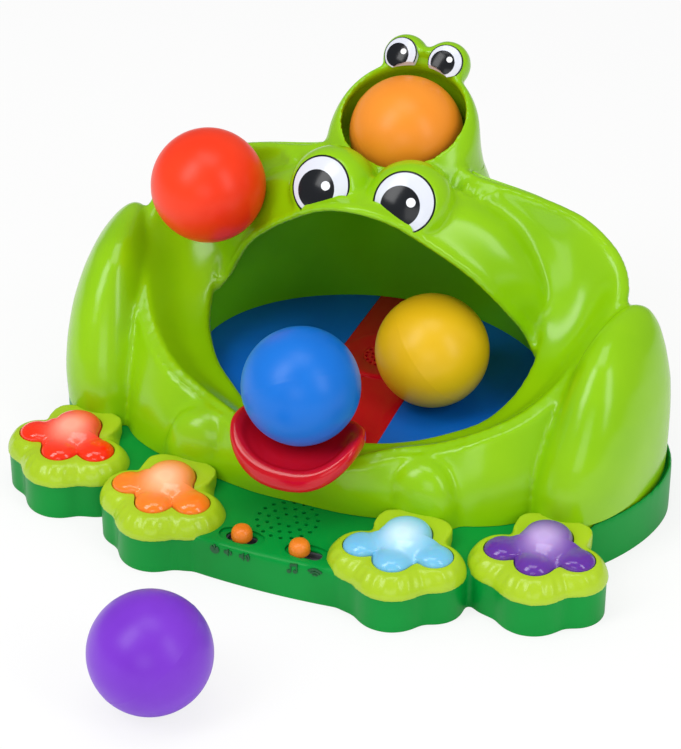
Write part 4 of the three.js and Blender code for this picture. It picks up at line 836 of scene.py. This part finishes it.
frog_skin = melted("frog_skin", body_solids + head_solids, skin_cell, skin_rounds)
seats = [carved(eye_seat(eye, side), trim) for eye, trim in (
    (big_eye, front_of_lip(big_seat_lip)), (small_eye, small_seat_room)) for side in (-1, 1)]
carve(frog_skin, tongue_notch, below(shell_bottom), outside_skirt(), mouth_room, *seats)
finish_piece(frog_skin, "lime", replaces=["front_shell", "face_hood", "small_frog"])

# %% [markdown]
# The rear shell closes the back between the thighs. It is a plain skin from the crest of the shoulders down
# to the skirt of the base, and its top edge tucks under the bead of the front shell, in the parting line that
# the toy shows.

# %% The rear shell
rear_top = place([
    [0.786, 0.188, 0.672], [0.74, 0.263, 0.765], [0.62, 0.3, 0.85], [0.472, 0.288, 0.92],
    [0.245, 0.29, 0.965], [0.235, 0.37, 0.93], [0.165, 0.44, 0.915], [0, 0.48, 0.915],
])
rear_foot = on_deck([
    [0.94, 0.2], [0.861, 0.3], [0.75, 0.378], [0.594, 0.448], [0.431, 0.493], [0.278, 0.519],
    [0.134, 0.532], [0, 0.536],
])
rear_bulge_shares = np.array([-0.03, -0.005, 0.025, 0.035, 0.04, 0.04, 0.04, 0.04])
rear_thickness = 3

rear_out = (level_out(rear_foot) + (0, 0, 0.5)) * rear_bulge_shares[:, None] * depth
rear_grid = sheet(rear_top, rear_foot, rear_out, 240, 48, both_ends)
rear_shell = to_object("rear_shell_skin", plate(rear_grid, 0, rear_thickness))
finish_piece(rear_shell, "lime", replaces=["rear_shell"])

# %% [markdown]
# Behind the mouth a wall keeps the balls on the blue floor. It rises from the floor's edge to the underside
# of the tracks and of the neck. It is the same lime plastic as the shells, with the duller grain of an inside
# face. It lies in shade, and its colour is that lime painted darker: painted shade.

# %% The wall of the mouth
floor_half_width, floor_half_depth = 108, 88
wall_angles = np.radians([-22, -13, -3, 9, 22, 36, 50, 65, 77, 90])
wall_top = place([
    [0.461, 0.035, 0.29], [0.522, 0.088, 0.353], [0.55, 0.146, 0.43], [0.55, 0.2, 0.54],
    [0.517, 0.242, 0.66], [0.45, 0.262, 0.775], [0.35, 0.31, 0.835], [0.22, 0.385, 0.85],
    [0.14, 0.46, 0.85], [0, 0.485, 0.85],
])
wall_bulge = 5

wall_foot = level(np.column_stack([
    np.cos(wall_angles) * (floor_half_width - wall),
    mouth_middle_y + np.sin(wall_angles) * (floor_half_depth - wall)]), floor_top + 0.3)
wall_grid = sheet(wall_foot, wall_top, level_out(wall_top) * wall_bulge, 240, 40, both_ends)
mouth_wall = to_object("mouth_wall", plate(wall_grid, wall / 2, wall / 2))
finish_piece(mouth_wall, "mouth_green", replaces=["mouth_liner"])

# %% [markdown]
# The feet share one outline: a heel, a palm and three toes, drawn as circles and joined like a web. Seen from
# the palm's middle, the outline lies at the far side of whichever circle reaches farthest, and a high power
# mean of the reaches rounds the corners between them. The base, the lime bezels and the buttons all use this
# outline with different margins, so they nest.

# %% The outline of a foot
feet = {
    "outer_left": (-139, -66), "inner_left": (-69, -91), "inner_right": (69, -91), "outer_right": (139, -66)}
toe_spread, toe_radius, web_power = 19.5, 10, 14
base_margin = 8.8
fold_depth, fold_count = 0.9, 30
# The slope of a bezel, from its foot to its inner edge: margin and height
bezel_profile = [[9.9, 20.6], [9.8, 22.6], [9.2, 25], [7.6, 28], [5.4, 30.6], [3.4, 32], [1.6, 32.3]]


def foot_outline(name, margin, sides=144):
    """Outline of a named foot, pushed out by a margin, as points in the level plane."""
    x, y = feet[name]
    side = np.sign(x)
    dx, dy, _ = oval(1, 1, sides).T[..., None]
    cx, cy, radius, share = np.array([  # the circles, each with the share of a margin that it takes
        [side * toe_spread, -1, toe_radius, 0.75], [0, -12.5, toe_radius, 1.15],
        [-side * toe_spread, -6, toe_radius, 0.9], [0, 11, 13, 1], [0, 0, 16, 1]]).T
    reach = (radius + margin * share) ** 2 - (cx * dy - cy * dx) ** 2
    out = cx * dx + cy * dy + np.sqrt(np.maximum(reach, 0))
    out = np.where((reach > 0) & (out > 0), out, 0)
    far_side = (out ** web_power).sum(1) ** (1 / web_power)
    return np.column_stack([x + far_side * dx[:, 0], y + far_side * dy[:, 0]])


def webbed_ring(name, margin, z, sides=288):
    """A ring with fine folds in front, like webbing: the margin swings with the angle by fold_depth there."""
    across, back, _ = oval(1, 1, sides).T
    angle = np.linspace(0, 2 * np.pi, sides, endpoint=False)
    middle, inner = (bezel_profile[0][0] + bezel_profile[-1][0]) / 2, bezel_profile[-1][0]
    slope = np.clip(1 - abs(margin - middle) / (middle - inner), 0, 1)
    folds = fold_depth * slope * np.clip(-back * 2, 0, 1) * np.cos(angle * fold_count)
    outline = foot_outline(name, margin, sides)
    return level(outline + unit(outline - feet[name]) * folds[:, None], z)


# %% [markdown]
# The base is a shallow tray turned upside down. Its outline is a flattened oval with a straight panel for the
# switches and a lobe under each foot, and a low skirt stands round the shells behind. The outlines are melted
# together, which rounds the upper edge as on the toy. The hollow, the switch slots, the holes of the speaker
# and the wide opening for the blower are cut afterwards.

# %% The base
knob_y = -103.5
slots_at = {"volume": (-17, -5, 5), "mode": (16.5, 0, 9)}  # middle, and how far the knob slides each way
slot_half = 4
pocket_reach, pocket_half, pocket_depth, pocket_power = 4, 6.6, 1.3, 2.4  # an oval dip round each slot
speaker_y, speaker_rows, speaker_hole = -81, ((6, 5.5), (12, 11), (18, 16.5)), 1.2
opening_half_width, opening_half_depth, wire_hole = 84, 72, 3.5


def panel_front_at(x, front):
    return -front - panel_bow * (1 - x ** 2)


def base_solids(inset, bottom, top):
    """The oval, the panel whose front edge bows forward, and the lobes of the feet, as plates."""
    x, half = np.linspace(-1, 1, 41), panel_half - inset
    front = np.column_stack([x * half, panel_front_at(x, panel_front - inset)])
    panel = np.vstack([front, [[half, 0], [-half, 0]]])
    lobes = [foot_outline(name, base_margin - inset) for name in feet]
    return [slab(outline, bottom, top) for outline in (base_outline(inset), panel, *lobes)]


def skirt():
    """A low wall on the outline that sinks into the deck in front of the thighs."""
    rings = []
    for outline in (base_outline(0), base_outline(skirt_wall)):
        rise = np.clip((outline[:, 1] - skirt_front) / skirt_rise, 0, 1)
        top = deck_height - 1 + (skirt_height - deck_height + 1) * (rise ** 2 * (3 - 2 * rise))
        rings.append([level(outline, deck_height - 6), level(outline, top)])
    return hoop(rings[0] + rings[1][::-1])


def slot_outlines(name):
    """A slot with round ends, for a knob that slides sideways, and the pocket round it."""
    middle, low, high = slots_at[name]
    angle = np.linspace(-np.pi / 2, np.pi / 2, 17)
    end = np.column_stack([np.cos(angle), np.sin(angle)]) * slot_half
    pocket = oval((high - low) / 2 + slot_half + pocket_reach, pocket_half, 64, pocket_power)
    return (np.vstack([end + (middle + high, knob_y), -end + (middle + low, knob_y)]),
            pocket + (middle + (low + high) / 2, knob_y, 0))


def round_holes(rows, y, radius, bottom, top, sides):
    """Round holes as one cutter, in rows of [number, distance from the middle]."""
    return together(*[
        disc(reach * math.cos(turn), y + reach * math.sin(turn), radius, bottom, top, sides)
        for count, reach in rows for turn in np.linspace(0, 2 * np.pi, count, endpoint=False)])


base = melted("base_skin", base_solids(0, -5, deck_height) + [skirt()], 1.7, 4)
under, through, over_deck = deck_height - wall, deck_height - wall - 6, deck_height + 6
opening = oval(opening_half_width, opening_half_depth, 96) + (0, mouth_middle_y, 0)
switch_slots, pockets = zip(*map(slot_outlines, slots_at))
carve(base, below(0), *base_solids(wall, -6, under), slab(opening, through, deck_height + 20),
      *[slab(outline, through, over_deck) for outline in switch_slots],
      *[slab(outline, deck_height - pocket_depth, over_deck) for outline in pockets],
      *[disc(x, y, wire_hole, through, over_deck, 24) for x, y in feet.values()],
      round_holes(speaker_rows, speaker_y, speaker_hole, through, over_deck, 12))
finish_piece(base, "base_green", replaces=["base_shell"])

# %% [markdown]
# Each foot has a lime bezel with a sloping edge and, behind it, an ankle that runs into the arm or the thigh.
# The button in it is clear plastic: a high dome for the palm and three lower ones for the toes. Its height is
# the soft maximum of four round hills, and it falls to the rim at its outline.

# %% The feet
ankle_y, ankle_half_width, ankle_half_depth, ankle_top = 18.8, 21, 13, 33.4
well_slip = 0.5
button_slots = dict(zip(feet, ("button_red", "button_orange", "button_blue", "button_purple")))
button_foot, button_rim, button_crease = 27.1, 31.6, math.radians(60)
# Hills: [x over the toe spread, y, radius, height]
hills = [[0, 8, 21, 9.4], [1.05, -3, 13, 5.4], [0, -14, 12.5, 5], [-1.05, -7, 13, 5.4]]
hill_softness, hill_power, edge_power = 0.8, 2.8, 10
glow_radius, glow_y = 10, 2


def make_bezel(name):
    x, y = feet[name]
    ankle = oval(ankle_half_width, ankle_half_depth, 72, 3) + (x, y + ankle_y, 0)
    bezel = melted(f"bezel_{name}", [
        loft([webbed_ring(name, margin, z) for margin, z in bezel_profile]),
        slab(ankle, shell_bottom, ankle_top)], 1.1, 4)
    carve(bezel, slab(foot_outline(name, well_slip), deck_height - 6, ankle_top + 20))
    finish_piece(bezel, "foot_lime", replaces=[f"foot_bezel_{name}"])


def make_button(name):
    """Rings from the outline in, as high as the hills there: rise * (1 - (distance / radius) ** power)."""
    x, y = feet[name]
    edge = foot_outline(name, 0)
    share = np.sin(np.linspace(0, np.pi / 2, 40))[:0:-1]  # dense near the outline
    spread = (edge - (x, y)) * share[:, None, None]
    hx, hy, radius, rise = np.array(hills).T
    away = np.linalg.norm(spread[:, :, None] - np.column_stack([hx * np.sign(x) * toe_spread, hy]), axis=-1)
    hill = np.maximum(rise * (1 - (away / radius) ** hill_power), -8)
    soft = hill_softness * np.log(np.exp(hill / hill_softness).sum(-1) + 1)
    top = button_rim + soft * np.sqrt(1 - share ** edge_power)[:, None]
    rings = np.concatenate([spread + (x, y), top[..., None]], axis=-1)
    tips = (x, y, button_foot), (x, y, button_rim + soft[-1].mean())
    button = to_object(f"button_{name}", loft(np.concatenate([[level(edge, button_foot)], rings]), tips))
    from_middle = points_of(button.data)[:, :2] / MM - (x, y + glow_y)
    glow = np.exp(-(from_middle ** 2).sum(1) / glow_radius ** 2)
    button.data.attributes.new("glow", "FLOAT", "POINT").data.foreach_set("value", glow)
    finish_piece(button, button_slots[name], body=f"foot_button_{name}", replaces=[f"foot_button_{name}"],
                 crease=button_crease)


for foot_name in feet:
    make_bezel(foot_name)
    make_button(foot_name)

# %% [markdown]
# The tongue is a lever with a cupped end: a thick rolled rim round a shallow dish, which droops in front. Its
# rim is a curve of [share of the half width, rise], swept round a squarish oval.

# %% The tongue
tongue_middle_y, tongue_half_width, tongue_half_depth, tongue_top = -66, 37, 26, 65.5
tongue_droop, tongue_cup, tongue_power = 12, 6.5, 2.4
dish_profile = [
    [0.02, 0], [0.3, 0.2], [0.58, 0.8], [0.74, 2.4], [0.83, 4.6], [0.92, 5.3],
    [0.99, 3.6], [1, 0], [0.97, -4], [0.86, -6.4], [0.6, -7], [0.02, -7]]
hinge_y, hinge_z, pin_radius, pin_reach = -44, 52, 1.56, 60
stem_half_width, stem_half_depth, stem_top = 22, 3.5, tongue_top - 2.4
finger_low, finger_high = (11.6, -55.2, 37), (16.4, hinge_y - 3.2, stem_top)

share, rise = smooth_columns(dish_profile, 90)[:, :, None]
across, back, _ = oval(1, 1, 128, tongue_power).T
across, back = across * share, back * share
droop = tongue_droop * np.maximum(-back, 0) ** 2 - tongue_cup * np.abs(across) ** 2.6
dish = np.stack([
    across * tongue_half_width, tongue_middle_y + back * tongue_half_depth, tongue_top + rise - droop], -1)
tongue = melted("tongue_skin", [
    loft(dish),
    block((-stem_half_width, hinge_y - stem_half_depth, hinge_z - 3.5),
          (stem_half_width, hinge_y + stem_half_depth, stem_top)),
    block(finger_low, finger_high)], 0.8, 2)
pin = turned([[pin_radius, -pin_reach], [pin_radius, pin_reach]], (0, hinge_y, hinge_z), (1, 0, 0), 32)
carve(tongue, pin)
finish_piece(tongue, "red", body="tongue", replaces=["tongue"])

# %% [markdown]
# The eyes are white lenses with a printed pupil, a printed glint and a printed edge. Each print is a thin
# skin just over the lens. The eyes end where the lips pass in front of them.

# %% The eyes
dome_share = 0.21  # height of a lens over its radius
print_depth, pupil_over, glint_over = -0.4, 0.12, 0.24
rim_sizes, rim_lifts = (0.995, 1.012, 1, 0.96, 0.955), (-0.5, -0.2, 0.15, 0.12, -0.3)
eye_print = moulded("printing_ink_black", "#1E2024", "#1A1C20", 0.16, sink=0, grain=0, shine=0.3)
glint_print = moulded("printing_ink_white", "#F4F6FA", "#F0F2F8", 0.3, sink=0, grain=0)


def lens_height(eye, x, y):
    return dome_share * eye["radius"] * (1 - (x ** 2 + y ** 2) / eye["radius"] ** 2)


def on_lens(eye, side, middle, sizes, lifts, sides):
    """Circles on a lens round a middle in its face, in shares of its radius, and each a little over it."""
    (cx, cy), radius = np.array(middle) * eye["radius"], eye["radius"]
    ring, size = oval(1, 1, sides), np.array(sizes)[:, None] * radius
    x, y = cx + size * ring[:, 0], cy + size * ring[:, 1]
    place, across, upward, out = eye_axes(eye, side)
    z = lens_height(eye, x, y) + np.array(lifts)[:, None]
    return place + x[..., None] * across + y[..., None] * upward + z[..., None] * out


def print_disc(eye, side, shares, over):
    """A round print: rings from its lower edge over its face to its middle."""
    sizes = np.array([1, *np.linspace(1, 0.05, 10)]) * shares[2]
    return loft(on_lens(eye, side, shares[:2], sizes, [print_depth] + [over] * 10, 72))


def make_eye(name, eye, side, trim):
    middle, _, _, out = eye_axes(eye, side)
    radius = eye["radius"]
    size = np.linspace(1, 0.03, 24) * radius
    lens = turned(np.vstack([
        [radius - 0.3, -eye_thickness], [radius, -eye_thickness + 0.3], [radius, -0.3],
        np.column_stack([size, lens_height(eye, size, 0)])]), middle, out, 96)
    rim_print = hoop(on_lens(eye, side, (0, 0), rim_sizes, rim_lifts, 96))
    for part, solid, ink in (("lens", lens, None), ("rim", rim_print, eye_print),
                             ("pupil", print_disc(eye, side, eye["pupil"], pupil_over), eye_print),
                             ("glint", print_disc(eye, side, eye["glint"], glint_over), glint_print)):
        made = carve(to_object(f"{name}_{part}", solid), trim)
        finish_piece(made, "eye_white", replaces=[name] if part == "lens" else (), material=ink)


for eye_kind, eye, trim in (
        ("big", big_eye, front_of_lip(big_lens_lip)), ("small", small_eye, small_seat_room)):
    for side, side_name in ((-1, "left"), (1, "right")):
        make_eye(f"{eye_kind}_eye_{side_name}", eye, side, trim)

# %% [markdown]
# A red strip crosses the blue floor and carries the nozzle. A low ring round the nozzle holds a ball over the
# jet of air, and a plate with small holes keeps fingers out of the blower.

# %% The strip and the nozzle
nozzle_y, nozzle_radius, seat_radius = 63, 13, 24.5
strip_half, strip_flare, strip_low, strip_top = 26.7, 2.6, 43.35, 44.15
flare_start, flare_length = 20, 60
grille_rows, grille_hole, grille_deep = ((1, 0), (6, 3.6), (12, 7.2), (18, 10.7)), 1, 1.6
seat_profile = [
    [seat_radius, 0], [seat_radius - 0.4, 1], [seat_radius - 1.4, 1.5], [seat_radius - 3.4, 1.1],
    [nozzle_radius + 0.5, 0.5], [nozzle_radius - 0.3, 0.1], [nozzle_radius - 0.3, -0.5], [seat_radius, -0.5]]

y = np.linspace(mouth_middle_y - floor_half_depth + 1, mouth_middle_y + floor_half_depth - 1, 121)
floor_share = np.maximum(1 - ((y - mouth_middle_y) / (floor_half_depth - 0.5)) ** 2, 0)
half = np.minimum(strip_half + strip_flare * np.clip((flare_start - y) / flare_length, 0, 1),
                  (floor_half_width - 1) * np.sqrt(floor_share))
outline = np.vstack([np.column_stack([half, y]), np.column_stack([-half, y])[::-1]])
strip = to_object("strip_skin", slab(outline, strip_low, strip_top))
carve(strip, disc(0, nozzle_y, nozzle_radius, 30, 60))
finish_piece(strip, "red", replaces=["throat_strip"])
seat_rings = [oval(radius, radius, 96) + (0, nozzle_y, strip_top + z) for radius, z in seat_profile]
finish_piece(to_object("nozzle_seat", hoop(seat_rings)), "red")
grille_plate = disc(0, nozzle_y, nozzle_radius, strip_top - grille_deep, strip_top - 0.1)
grille = to_object("nozzle_grille", grille_plate)
carve(grille, round_holes(grille_rows, nozzle_y, grille_hole, strip_top - 6, strip_top + 4, 20))
finish_piece(grille, "red")

# %% [markdown]
# Two knobs slide in the panel. Each is a soft orange dome on a stem, and dark icons in the wall below it show
# what each place of the knob does: off, soft and loud on one side, music and sounds on the other.

# %% The knobs
knob_profile = [[5.6, 22.9], [5.8, 24], [5.75, 26], [5.3, 28], [4.3, 29.4], [2.7, 30.2], [0.8, 30.4]]
stem_half, switch_top, stem_end = 2.4, 21.3, 25.5

for knob_name, (knob_x, _, _) in slots_at.items():
    dome = turned(smooth_columns(knob_profile, 36).T, (knob_x, knob_y, 0), (0, 0, 1), 64)
    stem = block((knob_x - stem_half, knob_y - stem_half, switch_top - wall),
                 (knob_x + stem_half, knob_y + stem_half, stem_end))
    finish_piece(to_object(f"{knob_name}_dome", together(dome, stem)), "knob_orange",
                 body=f"{knob_name}_knob", replaces=[f"{knob_name}_knob"])

# %% The icons
icon_green = moulded("printing_ink_green", "#0A5A2A", "#0A5528", 0.5, sink=0, grain=0)
icon_z, icon_line, icon_depth, icon_scale = 20.2, 0.75, 0.5, 1.25


def stroke(points, width=icon_line):
    """A bent line of one width in the icon's plane: its two edges joined into one outline."""
    ahead = unit(np.gradient(np.array(points, float), axis=0))
    beside = np.column_stack([-ahead[:, 1], ahead[:, 0]]) * width / 2
    return np.vstack([points + beside, (points - beside)[::-1]])


def arc(cx, cz, radius, start, end):
    angle = np.radians(np.linspace(start, end, 24))
    return np.column_stack([cx + radius * np.cos(angle), cz + radius * np.sin(angle)])


def icon(name, middle, outlines):
    """Flat outlines pressed into the panel's front wall, each a plate square to the wall."""
    plates = []
    for outline in outlines:
        x, z = (np.asarray(outline, float) * icon_scale + (middle, icon_z)).T
        y = panel_front_at(x / panel_half, panel_front)
        plates.append(loft([np.column_stack([x, y + d, z]) for d in (-icon_depth, icon_depth)]))
    finish_piece(to_object(f"icon_{name}", together(*plates)), "base_green", material=icon_green)


horn = [[-1.9, -0.8], [-0.9, -0.8], [0.3, -1.9], [0.3, 1.9], [-0.9, 0.8], [-1.9, 0.8]]
near_wave, far_wave = stroke(arc(0.4, 0, 1.1, -50, 50)), stroke(arc(0.4, 0, 2.3, -50, 50))
icon("power", -28, [stroke(arc(0, -0.2, 1.8, 125, 415)), stroke([[0, 0.2], [0, 1.2], [0, 2.2]])])
icon("soft", -20, [horn, near_wave])
icon("loud", -11, [horn, near_wave, far_wave])
icon("music", 17, [
    arc(-1.3, -1.7, 0.95, 0, 345), arc(1.5, -1.3, 0.95, 0, 345),
    stroke([[-0.5, -1.6], [-0.5, 0], [-0.5, 2]], 0.5), stroke([[2.3, -1.2], [2.3, 0.4], [2.3, 2.4]], 0.5),
    stroke([[-0.7, 1.8], [0.9, 2.05], [2.5, 2.3]], 0.9)])
icon("sounds", 30, [stroke(arc(0, -2, radius, 40, 140)) for radius in (1.2, 2.6, 4)])

# %% [markdown]
# The balls are blow moulded from soft polyethylene, in two halves of a mould that leave a fine line round
# each ball. They lie as they fell, so every line is tilted another way.

# %% The balls
ball_radius, seam_height, seam_width = 32, 0.12, 0.022
ball_axes = {
    "orange": (0.5, -0.3, 0.8), "blue": (-0.4, 0.5, 0.75), "yellow": (0.7, 0.2, 0.6),
    "red": (0.2, -0.6, 0.75), "purple": (-0.6, -0.2, 0.75),
}
latitude = np.linspace(-np.pi / 2, np.pi / 2, 129)[1:-1]
ball_reach = ball_radius + seam_height * np.exp(-(latitude / seam_width) ** 2)
ball_profile = np.stack([ball_reach * np.cos(latitude), ball_reach * np.sin(latitude)], -1)
for ball_name, ball_axis in ball_axes.items():
    low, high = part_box(f"ball_{ball_name}")
    middle = np.array((low + high) / 2) / MM
    points, faces = turned(ball_profile, middle, ball_axis, 128)
    points[-2:] = middle + np.outer((-ball_radius, ball_radius), unit(np.array(ball_axis)))
    finish_piece(to_object(f"{ball_name}_ball", (points, faces)), f"ball_{ball_name}",
                 body=f"ball_{ball_name}", replaces=[f"ball_{ball_name}"])

# %% Paint on the nodes that stay
for node_name, node in nodes.items():
    node.data.materials.clear()
    node.data.materials.append(materials[slots[node_name]])

# %% Sizes and finish
made_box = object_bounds()
{"cad": [list(corner) for corner in cad_box], "visual": [list(corner) for corner in made_box]}
